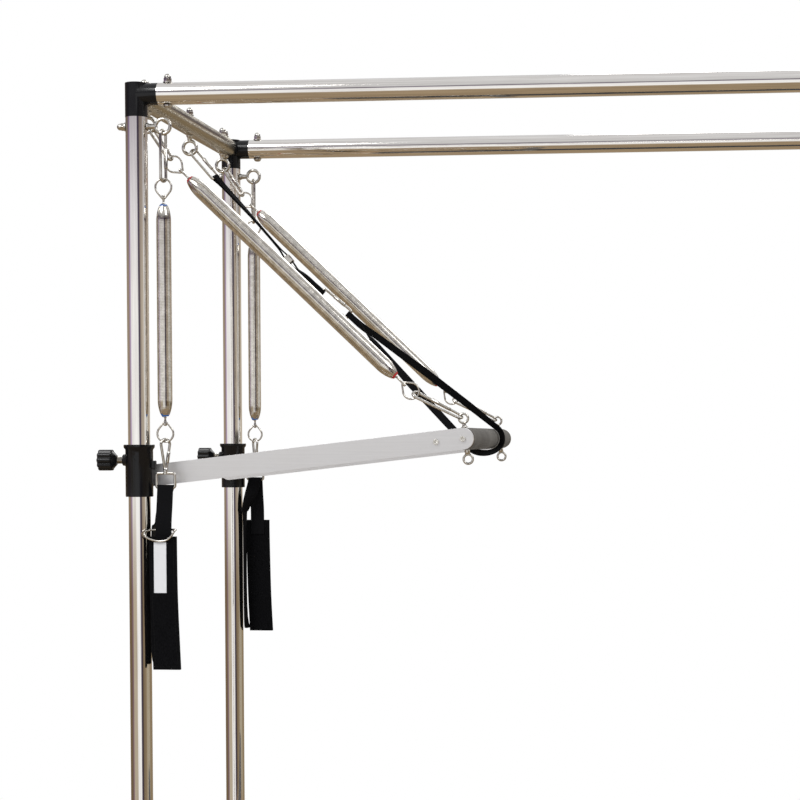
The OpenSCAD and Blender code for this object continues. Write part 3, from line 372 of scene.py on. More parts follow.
def ring(name, middle, diameter, place, steps=40):
    """A wire ring about Z, from the torus primitive."""
    bpy.ops.object.select_all(action="DESELECT")
    bpy.ops.mesh.primitive_torus_add(major_segments=steps, minor_segments=RING_SIDES,
                                     major_radius=middle, minor_radius=diameter / 2)
    obj = settle(bpy.context.active_object)
    obj.name = name
    obj.data.transform(place)
    return smooth(obj, 80)


def wire(name, points, diameter, closed=True, sides=3, place=Matrix.Identity(4)):
    """Bends a round wire along points, as a curve that is made a mesh."""
    data = bpy.data.curves.new(name, "CURVE")
    data.dimensions = "3D"
    data.bevel_depth = diameter / 2
    data.bevel_resolution = sides
    data.use_fill_caps = True
    line = data.splines.new("POLY")
    line.points.add(len(points) - 1)
    for spot, point in zip(line.points, points):
        spot.co = (*point, 1)
    line.use_cyclic_u = closed
    obj = bpy.data.objects.new(name, data)
    scene.collection.objects.link(obj)
    alone(obj)
    bpy.ops.object.convert(target="MESH")
    obj = bpy.context.active_object
    obj.data.transform(place)
    return smooth(obj, 60)


def box(name, low, high):
    """A box between two corners, from the cube primitive."""
    low, high = Vector(low), Vector(high)
    bpy.ops.object.select_all(action="DESELECT")
    bpy.ops.mesh.primitive_cube_add(size=1, location=(low + high) / 2, scale=high - low)
    obj = settle(bpy.context.active_object)
    obj.name = name
    return obj


# %% [markdown]
# ## From a start to a finished piece
#
# What repeats is modelled once and copied to its places. A finished piece gets its material, rides
# on the body that its CAD node belongs to, and replaces that node. A CAD node that already has the
# right shape is copied, its loose triangles are merged, and its edges are eased.

# %% Joining, copying and cutting
def joined(name, parts):
    """Joins several objects into one."""
    bpy.ops.object.select_all(action="DESELECT")
    for part in parts:
        part.select_set(True)
    bpy.context.view_layer.objects.active = parts[0]
    if len(parts) > 1:
        bpy.ops.object.join()
    obj = bpy.context.active_object
    obj.name = name
    obj.data.name = name
    return obj


def copies(name, master, places):
    """Copies of one modelled piece at several places, joined."""
    parts = []
    for place in places:
        part = bpy.data.objects.new(name, master.data.copy())
        part.data.transform(place)
        scene.collection.objects.link(part)
        parts.append(part)
    bpy.data.objects.remove(master)
    return joined(name, parts)


def cut(obj, tool):
    """Takes a tool's shape out of an object."""
    hollow = obj.modifiers.new("cut", "BOOLEAN")
    hollow.operation = "DIFFERENCE"
    hollow.solver = "EXACT"
    hollow.object = tool
    bake_modifiers(obj)
    bpy.data.objects.remove(tool)
    return obj


# %% Finish, body and node of a piece
def finish(obj, material):
    """Gives a piece one material in place of what it had."""
    obj.data.materials.clear()
    obj.data.materials.append(material)
    return obj


def dress(obj, material, stands_for):
    """Gives a piece its finish, hides the CAD nodes that it stands for, and lets it ride."""
    if material is not None:
        finish(obj, material)
    stands_for = [stands_for] if isinstance(stands_for, str) else list(stands_for)
    body = body_of_node[stands_for[0]]
    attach(obj, body)
    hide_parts(*stands_for)
    print(obj.name, "rides on", body, "with", len(obj.data.polygons), "faces")
    return obj


def fine_copy(node, material, width, segments=2):
    """A copy of a CAD node with merged faces and eased edges, which stands for the node."""
    obj = bpy.data.objects.new(node.replace("_", "-"), nodes[node].data.copy())
    scene.collection.objects.link(obj)
    edit(obj, merge, lambda: bpy.ops.mesh.dissolve_limited(angle_limit=math.radians(0.5)))
    ease(obj, width, segments)
    return dress(obj, material, node)


# %% [markdown]
# ## Effects for the finishes
#
# Several finishes share an effect: fine streaks along a drawn tube, smudges from hands, a weave in
# webbing, pores in foam and vinyl, grain in wood. Each effect is a node group with named inputs
# and outputs, built once and used with its own values in each material.

# %% Helpers for node groups
def effect(name, scale, outputs):
    """A node group that reads a vector and a scale: the tree, its input node and its output node."""
    tree = bpy.data.node_groups.new(name, "ShaderNodeTree")
    tree.interface.new_socket(name="Vector", in_out="INPUT", socket_type="NodeSocketVector")
    size = tree.interface.new_socket(name="Scale", in_out="INPUT", socket_type="NodeSocketFloat")
    size.default_value = scale
    for label in outputs:
        tree.interface.new_socket(name=label, in_out="OUTPUT", socket_type="NodeSocketFloat")
    return tree, tree.nodes.new("NodeGroupInput"), tree.nodes.new("NodeGroupOutput")


def feed(tree, given, texture):
    """Gives a texture the group's vector and scale."""
    for label in ("Vector", "Scale"):
        tree.links.new(given.outputs[label], texture.inputs[label])
    return texture


# %% The effects
def noise_effect(name, detail, roughness, low, high):
    """Noise that is spread between two values, as a mask from 0 to 1."""
    tree, given, out = effect(name, 10.0, ["Mask"])
    noise = feed(tree, given, put(tree, "ShaderNodeTexNoise", Detail=detail, Roughness=roughness))
    spread = put(tree, "ShaderNodeMapRange", From_Min=low, From_Max=high)
    tree.links.new(noise.outputs["Fac"], spread.inputs["Value"])
    tree.links.new(spread.outputs["Result"], out.inputs["Mask"])
    return tree


def weave_effect():
    """Crossed ribs for webbing: a height for the threads."""
    tree, given, out = effect("weave", 100.0, ["Height"])
    both = put(tree, "ShaderNodeMath", operation="MULTIPLY")
    for place, direction in enumerate(("X", "DIAGONAL")):
        ribs = feed(tree, given, put(tree, "ShaderNodeTexWave", wave_type="BANDS",
                                     bands_direction=direction))
        tree.links.new(ribs.outputs["Fac"], both.inputs[place])
    tree.links.new(both.outputs[0], out.inputs["Height"])
    return tree


def pores_effect():
    """Small cells, as in foam or in the grain of vinyl."""
    tree, given, out = effect("pores", 400.0, ["Height"])
    cells = feed(tree, given, put(tree, "ShaderNodeTexVoronoi", feature="F1"))
    tree.links.new(cells.outputs["Distance"], out.inputs["Height"])
    return tree


def grain_effect():
    """Wood grain: long rings that noise pulls out of line, and fibres nine times as fine."""
    tree, given, out = effect("wood grain", 8.0, ["Rings", "Fibres"])
    rings = feed(tree, given, put(tree, "ShaderNodeTexWave", wave_type="RINGS",
                                  rings_direction="X", Distortion=5.0, Detail=3.0,
                                  Detail_Scale=1.6))
    fibres = put(tree, "ShaderNodeTexNoise", Detail=6.0, Roughness=0.7)
    finer = put(tree, "ShaderNodeMath", operation="MULTIPLY")
    finer.inputs[1].default_value = 9.0
    tree.links.new(given.outputs["Vector"], fibres.inputs["Vector"])
    tree.links.new(given.outputs["Scale"], finer.inputs[0])
    tree.links.new(finer.outputs[0], fibres.inputs["Scale"])
    tree.links.new(rings.outputs["Fac"], out.inputs["Rings"])
    tree.links.new(fibres.outputs["Fac"], out.inputs["Fibres"])
    return tree


streaks = noise_effect("fine streaks", 5.0, 0.6, 0.35, 0.65)
smudges = noise_effect("hand smudges", 3.0, 0.5, 0.40, 0.68)
weave, pores, grain = weave_effect(), pores_effect(), grain_effect()
print("effects", [g.name for g in bpy.data.node_groups])

# %% [markdown]
# ## Finishes
#
# Every finish is a Principled shader. Numbers that are the same all over the surface sit on the
# shader itself. What changes over the surface comes from the effects: a little colour, more or
# less roughness, and bumps.

# %% Helpers for finishes
EVEN = (1, 1, 1)


def finish_of(name, colour, rough, metal=0.0, coat=0.0, sheen=0.0, specular=0.5):
    """A material with a Principled shader and its plain values."""
    material = bpy.data.materials.new(name)
    material.use_nodes = True
    shader = material.node_tree.nodes["Principled BSDF"]
    shader.inputs["Base Color"].default_value = (*colour, 1)
    shader.inputs["Roughness"].default_value = rough
    shader.inputs["Metallic"].default_value = metal
    shader.inputs["Coat Weight"].default_value = coat
    shader.inputs["Sheen Weight"].default_value = sheen
    shader.inputs["Specular IOR Level"].default_value = specular
    return material


def use_effect(material, group, stretch, scale, coordinates="Object"):
    """Places an effect in a material; a small stretch draws the pattern out along that axis."""
    tree = material.node_tree
    where = tree.nodes.new("ShaderNodeTexCoord")
    mapping = put(tree, "ShaderNodeMapping")
    mapping.inputs["Scale"].default_value = stretch
    made = tree.nodes.new("ShaderNodeGroup")
    made.node_tree = group
    made.inputs["Scale"].default_value = scale
    tree.links.new(where.outputs[coordinates], mapping.inputs["Vector"])
    tree.links.new(mapping.outputs["Vector"], made.inputs["Vector"])
    return made


def tint(material, mask, dark, light):
    """Colour between two tones, by a mask."""
    tree = material.node_tree
    tree.links.new(ramp(tree, [(0.0, dark), (1.0, light)], mask),
                   tree.nodes["Principled BSDF"].inputs["Base Color"])


def vary_roughness(material, mask, low, high):
    """Roughness between two values, by a mask."""
    tree = material.node_tree
    spread = put(tree, "ShaderNodeMapRange", To_Min=low, To_Max=high)
    tree.links.new(mask, spread.inputs["Value"])
    tree.links.new(spread.outputs["Result"], tree.nodes["Principled BSDF"].inputs["Roughness"])


def raise_surface(material, height, strength, distance):
    """Bumps from a height."""
    tree = material.node_tree
    bump = put(tree, "ShaderNodeBump", Strength=strength, Distance=distance)
    tree.links.new(height, bump.inputs["Height"])
    tree.links.new(bump.outputs["Normal"], tree.nodes["Principled BSDF"].inputs["Normal"])


# %% [markdown]
# ## Metals
#
# The tubes and arms are drawn, so fine streaks run along them, and each direction of drawing needs
# its own material. Hooks, rings, bolts and spring wire are plated and small: faint marks all over
# are enough for them.

# %% Metals
ALONG = {"X": (0.02, 1, 1), "Y": (1, 0.02, 1), "Z": (1, 1, 0.02)}


def drawn_metal(name, axis, dark, light, low, high, fineness=260.0):
    """Metal with fine streaks along one axis."""
    material = finish_of(name, light, low, metal=1.0)
    lines = use_effect(material, streaks, ALONG[axis], fineness)
    tint(material, lines.outputs["Mask"], dark, light)
    marks = use_effect(material, smudges, EVEN, 9.0)
    vary_roughness(material, marks.outputs["Mask"], low, high)
    raise_surface(material, lines.outputs["Mask"], 0.05, 0.0004)
    return material


def small_metal(name, dark, light, low, high):
    """Bright plated metal with faint marks all over."""
    material = finish_of(name, light, low, metal=1.0)
    marks = use_effect(material, smudges, EVEN, 90.0)
    tint(material, marks.outputs["Mask"], dark, light)
    vary_roughness(material, marks.outputs["Mask"], low, high)
    return material


polished = {axis: drawn_metal("polished tube along " + axis, axis, (0.75, 0.72, 0.69),
                              (0.92, 0.90, 0.87), 0.04, 0.10) for axis in "XZ"}
# The crossbar is satin steel with drawing streaks; its tan-brown tone is a painted reflection of a
# wooden floor.
satin_bar_painted_floor_reflection = drawn_metal("satin crossbar", "Y", (0.44, 0.41, 0.33), (0.54, 0.50, 0.41), 0.22, 0.32)
arm_metal = drawn_metal("satin aluminium", "X", (0.735, 0.735, 0.74), (0.765, 0.765, 0.77),
                        0.42, 0.50, 420.0)
bright_plate = small_metal("bright plate", (0.52, 0.50, 0.46), (0.68, 0.66, 0.62), 0.08, 0.18)
spring_wire = small_metal("spring wire", (0.62, 0.59, 0.54), (0.80, 0.77, 0.72), 0.10, 0.18)
print("metals", len(bpy.data.materials))

# %% [markdown]
# ## Plastics, rubber, foam and paint
#
# Everything that comes from a mould has a skin with tiny pores and faint changes of tone. One
# helper makes them all, from glossy paint to the deep pores of the grip's foam.

# %% Moulded finishes
def moulded(name, dark, light, low, high, coat=0.0, pore_scale=900.0, pore_depth=0.0001,
            specular=0.5):
    """Moulded plastic, rubber or vinyl: faint tone changes and a fine skin."""
    material = finish_of(name, light, low, coat=coat, specular=specular)
    marks = use_effect(material, smudges, EVEN, 14.0)
    tint(material, marks.outputs["Mask"], dark, light)
    vary_roughness(material, marks.outputs["Mask"], low, high)
    skin = use_effect(material, pores, EVEN, pore_scale)
    raise_surface(material, skin.outputs["Height"], 0.35, pore_depth)
    return material


black_plastic = moulded("black plastic", (0.004, 0.004, 0.005), (0.008, 0.008, 0.009), 0.14, 0.24,
                        specular=0.28)
rubber = moulded("rubber", (0.012, 0.012, 0.012), (0.022, 0.022, 0.022), 0.70, 0.85)
vinyl = moulded("black vinyl", (0.012, 0.012, 0.013), (0.020, 0.020, 0.021), 0.36, 0.48, 0.1,
                620.0, 0.00025)
grip_foam = moulded("grip foam", (0.105, 0.098, 0.088), (0.155, 0.146, 0.132), 0.85, 0.95, 0.0,
                    1300.0, 0.0004)
red_paint = moulded("red paint", (0.42, 0.010, 0.012), (0.55, 0.015, 0.018), 0.25, 0.35, 0.4)
blue_paint = moulded("blue paint", (0.010, 0.10, 0.36), (0.016, 0.15, 0.48), 0.25, 0.35, 0.4)
liner_plastic = moulded("liner plastic", (0.60, 0.60, 0.56), (0.72, 0.72, 0.68), 0.4, 0.5)
thread = moulded("thread", (0.008, 0.008, 0.008), (0.016, 0.016, 0.016), 0.7, 0.8, specular=0.1)
label_thread = moulded("label thread", (0.62, 0.62, 0.64), (0.72, 0.72, 0.74), 0.7, 0.8)
print("materials so far", len(bpy.data.materials))

# %% [markdown]
# ## Cloth and wood
#
# The webbing's weave follows each strap's own UV map, because the straps turn and fold, and its
# colour carries a painted shade: darker in the weave's hollows, lighter on its crests. The padded
# bands are a dull brushed cloth. The bed's boards are lacquered maple, and its grain runs along
# each board, so there is one material for each direction.

# %% Cloth and wood
GRAIN_ALONG = {"X": (0.12, 1, 1), "Y": (1, 0.12, 1)}


def woven(name, dark, light, depth, sheen, specular=0.25):
    """Woven cloth: ribs along its UV map, with painted shade in the hollows and a painted highlight
    on crests.
    """
    material = finish_of(name, light, 0.82, sheen=sheen, specular=specular)
    cloth = use_effect(material, weave, EVEN, 1.0, "UV")
    # The colour follows the weave's height: painted shade between the threads, a painted highlight
    # on their crests.
    tint(material, cloth.outputs["Height"], dark, light)
    raise_surface(material, cloth.outputs["Height"], 0.6, depth)
    return material


def pile(name):
    """Black brushed cloth of the padded bands."""
    material = finish_of(name, (0.003, 0.003, 0.004), 0.95, specular=0.08)
    fuzz = use_effect(material, streaks, (1, 1, 0.5), 700.0)
    tint(material, fuzz.outputs["Mask"], (0.0015, 0.0015, 0.002), (0.006, 0.006, 0.007))
    raise_surface(material, fuzz.outputs["Mask"], 0.5, 0.0006)
    return material


def maple(name, axis):
    """Lacquered maple with its grain along one axis."""
    material = finish_of(name, (0.70, 0.52, 0.33), 0.38, coat=0.25)
    wood = use_effect(material, grain, GRAIN_ALONG[axis], 7.0)
    tint(material, wood.outputs["Rings"], (0.56, 0.38, 0.21), (0.72, 0.54, 0.34))
    vary_roughness(material, wood.outputs["Fibres"], 0.32, 0.46)
    raise_surface(material, wood.outputs["Fibres"], 0.12, 0.0004)
    return material


webbing = woven("webbing", (0.002, 0.002, 0.003), (0.007, 0.007, 0.008), 0.0005, 0.0, 0.12)
label_cloth = woven("label cloth", (0.78, 0.78, 0.80), (0.90, 0.90, 0.91), 0.0002, 0.1)
band_cloth = pile("band cloth")
maple_along, maple_across = maple("maple along the table", "X"), maple("maple across", "Y")
print("materials", len(bpy.data.materials))

# %% [markdown]
# ## Frame tubes
#
# The frame is drawn steel tube, polished on the posts and rails and satin on the crossbars. An open
# cylinder with a wall from Solidify is all that a straight tube needs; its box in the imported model
# gives the length and the place.

# %% Tubes
POST_X, POST_Y, RAIL_Z = 1.075, 0.350, 2.100
TUBE_R, TUBE_WALL = 0.01905, 0.002
LIE_ALONG = {"X": (0, QUARTER, 0), "Y": (QUARTER, 0, 0), "Z": (0, 0, 0)}


def pipe(node, axis, material):
    """An open tube that fills a straight tube's box."""
    low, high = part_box(node)
    length = (high - low)["XYZ".index(axis)]
    bpy.ops.object.select_all(action="DESELECT")
    bpy.ops.mesh.primitive_cylinder_add(vertices=64, radius=TUBE_R, depth=length,
                                        end_fill_type="NOTHING", location=(low + high) / 2,
                                        rotation=LIE_ALONG[axis])
    obj = settle(bpy.context.active_object)
    obj.name = node.replace("_", "-")
    wall = obj.modifiers.new("wall", "SOLIDIFY")
    wall.thickness = TUBE_WALL
    wall.offset = -1
    bake_modifiers(obj)
    return dress(smooth(obj), material, node)


for post in ("front_left", "back_left", "front_right", "back_right"):
    pipe(post + "_upright", "Z", polished["Z"])
for side in ("front", "back"):
    pipe(side + "_top_rail", "X", polished["X"])
for end in ("left", "right"):
    pipe(end + "_crossbar", "Y", satin_bar_painted_floor_reflection)

# %% [markdown]
# ## Corner fittings and fasteners
#
# The black corners are square castings with a flat top and a collar round each tube. Their CAD mesh
# has that shape already, so only its edges are eased. Bolts, washers and dome nuts are turned parts:
# an outline is spun once, and the result is copied to each place.

# %% Bolts, washers and nuts
BOLT_R, HEAD_R, WASHER_R, WASHER_T = 0.004, 0.007, 0.008, 0.0016
WASHER_BORE, WASHER_RIM = BOLT_R + 0.0003, 0.0002
NUT_HEX_R, NUT_HEX_H, NUT_H, NUT_EDGE = 0.0072, 0.0063, 0.014, 0.0005
DOME_R = NUT_HEX_R * 0.82
GRIP_UP = TUBE_R + WASHER_T
BOLT_END = GRIP_UP + NUT_HEX_H + 0.002


def arc(middle, radius, start, end, steps):
    """Points of a circle's part, as (across, along) pairs."""
    turns = [math.radians(start + (end - start) * i / steps) for i in range(steps + 1)]
    return [(middle[0] + radius * math.cos(t), middle[1] + radius * math.sin(t)) for t in turns]


def bolt(length):
    """A bolt with a recessed pan head below its shank."""
    return turned("bolt", [(0, -0.0032), (0.0022, -0.0032), (0.0026, -0.0045), (0.0038, -0.0043),
                           (0.0056, -0.0034), (0.0068, -0.0018), (HEAD_R, -0.0004), (HEAD_R, 0),
                           (BOLT_R, 0), (BOLT_R, length), (0, length)])


def washer():
    """A flat ring with eased rims."""
    flat = WASHER_R - WASHER_RIM
    return turned("washer", [(WASHER_BORE, 0), (flat, 0), (WASHER_R, WASHER_RIM),
                             (WASHER_R, WASHER_T - WASHER_RIM), (flat, WASHER_T),
                             (WASHER_BORE, WASHER_T)], loop=True)


def dome_nut():
    """A hexagon with a dome on it."""
    bpy.ops.object.select_all(action="DESELECT")
    bpy.ops.mesh.primitive_cylinder_add(vertices=6, radius=NUT_HEX_R, depth=NUT_HEX_H,
                                        location=(0, 0, NUT_HEX_H / 2))
    hexagon = ease(settle(bpy.context.active_object), NUT_EDGE)
    dome = turned("dome", [(0, NUT_HEX_H - NUT_EDGE), (DOME_R, NUT_HEX_H - NUT_EDGE)]
                  + arc((0, NUT_H - DOME_R), DOME_R, 0, 88, 8) + [(0, NUT_H)], steps=32)
    return joined("dome nut", [hexagon, dome])


# %% Where the fasteners sit
BOTH = (-1, 1)
SIDES = (("front", -1), ("back", 1))
RAIL_BOLT, CROSS_BOLT = 0.056, 0.052
BRACKET_BOLTS, BRACKET_FACE, BRACKET_Z, BRACKET_GRIP = (0.044, 0.072), 0.05865, 0.450, 0.0402
EYE_Z = RAIL_Z - 0.056
LONG_Y, STRAP_Y = 0.276, 0.015


def corner(a, b, x, y, z):
    """A point near a corner: a and b are the corner's signs, x and y run towards the middle."""
    return Vector((a * (POST_X - x), b * (POST_Y - y), z))


bolt_places, washer_places, nut_places = [], [], []
for a in BOTH:
    for b in BOTH:
        for at in (corner(a, b, RAIL_BOLT, 0, RAIL_Z), corner(a, b, 0, CROSS_BOLT, RAIL_Z)):
            bolt_places.append(Matrix.Translation(at - GRIP_UP * UP))
            nut_places.append(Matrix.Translation(at + GRIP_UP * UP))
            washer_places += [Matrix.Translation(at - GRIP_UP * UP),
                              Matrix.Translation(at + TUBE_R * UP)]
        for x in BRACKET_BOLTS:
            at, out = corner(a, b, x, BRACKET_FACE, BRACKET_Z), Vector((0, b, 0))
            bolt_places.append(aim(at, out))
            nut_places.append(aim(at + out * BRACKET_GRIP, out))
            washer_places += [aim(at, out), aim(at + out * (BRACKET_GRIP - WASHER_T), out)]
        out = Vector((a, 0, 0))
        nut_places.append(aim(corner(a, b, -GRIP_UP, 0, EYE_Z), out))
        washer_places.append(aim(corner(a, b, -TUBE_R, 0, EYE_Z), out))
crossbar_eyes = [Vector((a * POST_X, b * LONG_Y, RAIL_Z)) for a in BOTH for b in BOTH]
crossbar_eyes.append(Vector((-POST_X, STRAP_Y, RAIL_Z)))
for at in crossbar_eyes:
    nut_places.append(Matrix.Translation(at + GRIP_UP * UP))
    washer_places.append(Matrix.Translation(at + TUBE_R * UP))

dress(copies("frame-bolts", bolt(GRIP_UP + BOLT_END), bolt_places), bright_plate,
      "frame_bolts")
dress(copies("frame-washers", washer(), washer_places), bright_plate, "frame_washers")
dress(copies("dome-nuts", dome_nut(), nut_places), bright_plate, "dome_nuts")
fine_copy("corner_fittings", black_plastic, 0.0008)
print("nuts", len(nut_places), "washers", len(washer_places))

# %% [markdown]
# ## Eyebolts
#
# An eyebolt is a ring on a shank with a cone as its shoulder. The ring is a torus, the shank and
# the shoulder are one turned outline.

# %% Eyebolts
EYE_MIDDLE, EYE_WIRE = 0.0128, 0.0064
STAND = Matrix.Rotation(QUARTER, 4, "X")


def eyebolt(reach):
    """An eyebolt along Z from its eye's centre; its tube's axis lies at the reach."""
    shoulder = reach - TUBE_R
    shank = turned("shank", [(0, EYE_MIDDLE), (BOLT_R, EYE_MIDDLE),
                             (BOLT_R + 0.001, shoulder - 0.004), (HEAD_R, shoulder - 0.0004),
                             (HEAD_R, shoulder), (BOLT_R, shoulder), (BOLT_R, reach + BOLT_END),
                             (0, reach + BOLT_END)])
    return joined("eyebolt", [ring("eye", EYE_MIDDLE, EYE_WIRE, STAND), shank])


POST_REACH, CROSS_REACH = 0.047, 0.042
dress(copies("post-eyebolts", eyebolt(POST_REACH),
             [aim(corner(a, b, POST_REACH, 0, EYE_Z), (a, 0, 0)) for a in BOTH for b in BOTH]),
      bright_plate, "post_eyebolts")
dress(copies("crossbar-eyebolts", eyebolt(CROSS_REACH),
             [Matrix.Translation(at - CROSS_REACH * UP) for at in crossbar_eyes]),
      bright_plate, "crossbar_eyebolts")

# %% [markdown]
# ## Sleeves and clamp knobs
#
# Each sleeve is a moulded tube with a flange on top, a cone for the clamp's stud, a round boss for
# the arm's pivot and a lug. A small triangle is sunk into its wall, which a Boolean cuts out. The
# knob is a cylinder whose wall is drawn in between its ribs, on a bright threaded stud.

# %% Sleeves
SLEEVE_LOW, SLEEVE_H, SLEEVE_R, SLEEVE_BORE, SLEEVE_RIM = 1.400, 0.091, 0.024, 0.02101, 0.0008
FLANGE_R, FLANGE_LOW = 0.027, SLEEVE_H - 0.009
PIVOT_RISE, KNOB_RISE = 0.035, 0.064
WALL_IN = 0.0192
MARK_HALF, MARK_UP, MARK_DEEP, MARK_RISE = 0.005, 0.0045, 0.003, KNOB_RISE + 0.003
LUG_OUT, LUG_HALF, LUG_LOW, LUG_TOP = 0.030, 0.005, KNOB_RISE - 0.016, KNOB_RISE - 0.001


def triangle_mark(place):
    """The block that leaves the sleeve's triangle: a prism that points down."""
    points = [(x, y, z) for y in (0, MARK_DEEP)
              for x, z in ((-MARK_HALF, MARK_UP), (MARK_HALF, MARK_UP), (0, -MARK_UP))]
    mark = mesh_object("mark", points,
                       faces=[(0, 1, 2), (5, 4, 3), (0, 3, 4, 1), (1, 4, 5, 2), (2, 5, 3, 0)])
    edit(mark, face_out)
    mark.data.transform(Matrix.Translation(place))
    return mark


def sleeve(side, b):
    """The sleeve of one side; b is the side's sign."""
    foot = corner(-1, b, 0, 0, SLEEVE_LOW)
    body = turned("sleeve", [(SLEEVE_BORE, 0), (SLEEVE_R - SLEEVE_RIM, 0), (SLEEVE_R, SLEEVE_RIM),
                             (SLEEVE_R, FLANGE_LOW), (FLANGE_R - 0.0003, SLEEVE_H - 0.005),
                             (FLANGE_R, SLEEVE_H - 0.004), (FLANGE_R, SLEEVE_H - SLEEVE_RIM),
                             (FLANGE_R - SLEEVE_RIM, SLEEVE_H), (SLEEVE_BORE, SLEEVE_H)],
                  Matrix.Translation(foot), 72, True)
    outside = Vector((0, b * (SLEEVE_R + 0.0003) - MARK_DEEP / 2, MARK_RISE))
    smooth(cut(body, triangle_mark(foot + outside)))
    stud_boss = turned("stud boss", [(0, WALL_IN), (0.0128, WALL_IN), (0.0108, 0.0245),
                                     (0.0100, 0.0258), (0.0100, 0.0280), (0.0094, 0.0286),
                                     (0, 0.0286)],
                       aim(foot + KNOB_RISE * UP, (-1, 0, 0)))
    pivot_boss = turned("pivot boss", [(0, WALL_IN), (0.015, WALL_IN), (0.015, 0.0280),
                                       (0.0144, 0.0287), (0, 0.0287)],
                        aim(foot + PIVOT_RISE * UP, (0, -b, 0)))
    lug = ease(box("lug", foot + Vector((WALL_IN, -LUG_HALF, LUG_LOW)),
                   foot + Vector((LUG_OUT, LUG_HALF, LUG_TOP))), 0.0015, 3)
    return joined(side + "-sleeve", [body, stud_boss, pivot_boss, lug])


for side, b in SIDES:
    dress(sleeve(side, b), black_plastic, side + "_sleeve")

# %% Clamp knobs
RIBS, RIB_DIP, KNOB_R, KNOB_LENGTH, KNOB_START = 10, 0.0028, 0.0188, 0.025, 0.047
KNOB_END = KNOB_START + KNOB_LENGTH
STUD_R, THREAD_DEEP, THREAD_PITCH = 0.0064, 0.0007, 0.00125
THREAD_START, THREAD_END = 0.0205, 0.0385


def ribbed_grip():
    """The knob's grip: a cylinder whose wall is drawn in between its ribs."""
    bpy.ops.object.select_all(action="DESELECT")
    bpy.ops.mesh.primitive_cylinder_add(vertices=RIBS * 8, radius=KNOB_R, depth=KNOB_LENGTH,
                                        location=(0, 0, KNOB_START + KNOB_LENGTH / 2))
    grip = settle(bpy.context.active_object)
    for v in grip.data.vertices:
        around = math.atan2(v.co.y, v.co.x)
        dip = RIB_DIP * (0.5 + 0.5 * math.cos(RIBS * around)) ** 2
        reach = math.hypot(v.co.x, v.co.y)
        if reach > 0:
            v.co.x *= (reach - dip) / reach
            v.co.y *= (reach - dip) / reach
    return ease(grip, 0.0026, 4, 60)


def threaded_stud():
    """The bright stud between sleeve and knob, with the ridges of its thread."""
    line, along = [(0, 0.0195), (STUD_R - 0.0006, 0.0195)], THREAD_START
    while along < THREAD_END:
        line += [(STUD_R, along), (STUD_R - THREAD_DEEP, along + THREAD_PITCH / 2)]
        along += THREAD_PITCH
    return turned("stud", line + [(0, along)])


def clamp_knob(side, b):
    """A ribbed knob and its threaded stud, along -X from the post's axis."""
    grip = ribbed_grip()
    face = turned("face", [(0, KNOB_END + 0.0001), (0.0105, KNOB_END + 0.0001),
                           (0.0115, KNOB_END - 0.0010), (0, KNOB_END - 0.0010)])
    cone = turned("cone", [(0, 0.0398), (0.0084, 0.0398), (0.0092, 0.0406), (0.0160, KNOB_START),
                           (0, KNOB_START + 0.0005)])
    stud = finish(threaded_stud(), bright_plate)
    knob = joined(side + "-clamp-knob",
                  [finish(part, black_plastic) for part in (grip, face, cone)] + [stud])
    knob.data.transform(aim(corner(-1, b, 0, 0, SLEEVE_LOW + KNOB_RISE), (-1, 0, 0)))
    return knob


for side, b in SIDES:
    dress(clamp_knob(side, b), None, side + "_clamp_knob")

# %% [markdown]
# ## Push bar
#
# Two flat aluminium arms carry a steel tube with a foam grip. The arms keep their CAD shape with
# eased edges. The foam is turned from a long outline with small dents, so its highlight wavers.
# Small eyes stand above and below the bar.

# %% Arms, grip and bar eyes
ARM_RISE = math.radians(6.5)
PIVOT = Vector((-POST_X, 0, SLEEVE_LOW + PIVOT_RISE))
ARM_RUN = Vector((math.cos(ARM_RISE), 0, math.sin(ARM_RISE)))
BAR_UP = Vector((-math.sin(ARM_RISE), 0, math.cos(ARM_RISE)))
ARM_LENGTH = 0.570
BAR_AT = PIVOT + ARM_LENGTH * ARM_RUN
GRIP_R, GRIP_BORE, GRIP_HALF, GRIP_EDGE = 0.0195, 0.01608, 0.3075, 0.0015
DENTS, DENT_DEEP = 120, 0.00025

for side in ("front", "back"):
    fine_copy(side + "_arm", arm_metal, 0.0009, 3)
fine_copy("bar_end_plugs", black_plastic, 0.0007)
fine_copy("arm_screws", bright_plate, 0.0003)
fine_copy("pivot_bolts", bright_plate, 0.0004)

random.seed(11)
outer = [(GRIP_R - DENT_DEEP * random.random(), -GRIP_HALF + GRIP_EDGE
          + 2 * (GRIP_HALF - GRIP_EDGE) * i / DENTS) for i in range(DENTS + 1)]
grip_outline = ([(GRIP_BORE, -GRIP_HALF), (GRIP_R - GRIP_EDGE, -GRIP_HALF)] + outer
                + [(GRIP_R - GRIP_EDGE, GRIP_HALF), (GRIP_BORE, GRIP_HALF)])
grip = turned("bar-grip", grip_outline, aim(BAR_AT, ACROSS), 56, True)
dress(grip, grip_foam, "bar_grip")

BAR_EYE_REACH, BAR_EYE_MIDDLE, BAR_EYE_WIRE = 0.036, 0.00815, 0.0042


def bar_eyes():
    """The eyes above and below the bar, with the shank between them, along Z."""
    eyes = [ring("eye", BAR_EYE_MIDDLE, BAR_EYE_WIRE,
                 Matrix.Translation(reach * UP) @ STAND, 32)
            for reach in (BAR_EYE_REACH, -BAR_EYE_REACH)]
    neck = BAR_EYE_REACH - BAR_EYE_MIDDLE
    shank = turned("shank", [(0, -neck), (0.0036, -neck), (0.0046, -neck + 0.0015),
                             (0.0046, -0.0198), (0.0030, -0.0196), (0.0030, 0.0196),
                             (0.0062, 0.0197), (0.0062, 0.0209), (0.0042, 0.0214),
                             (0.0030, neck - 0.002), (0.0036, neck), (0, neck)])
    return joined("bar eyes", eyes + [shank])


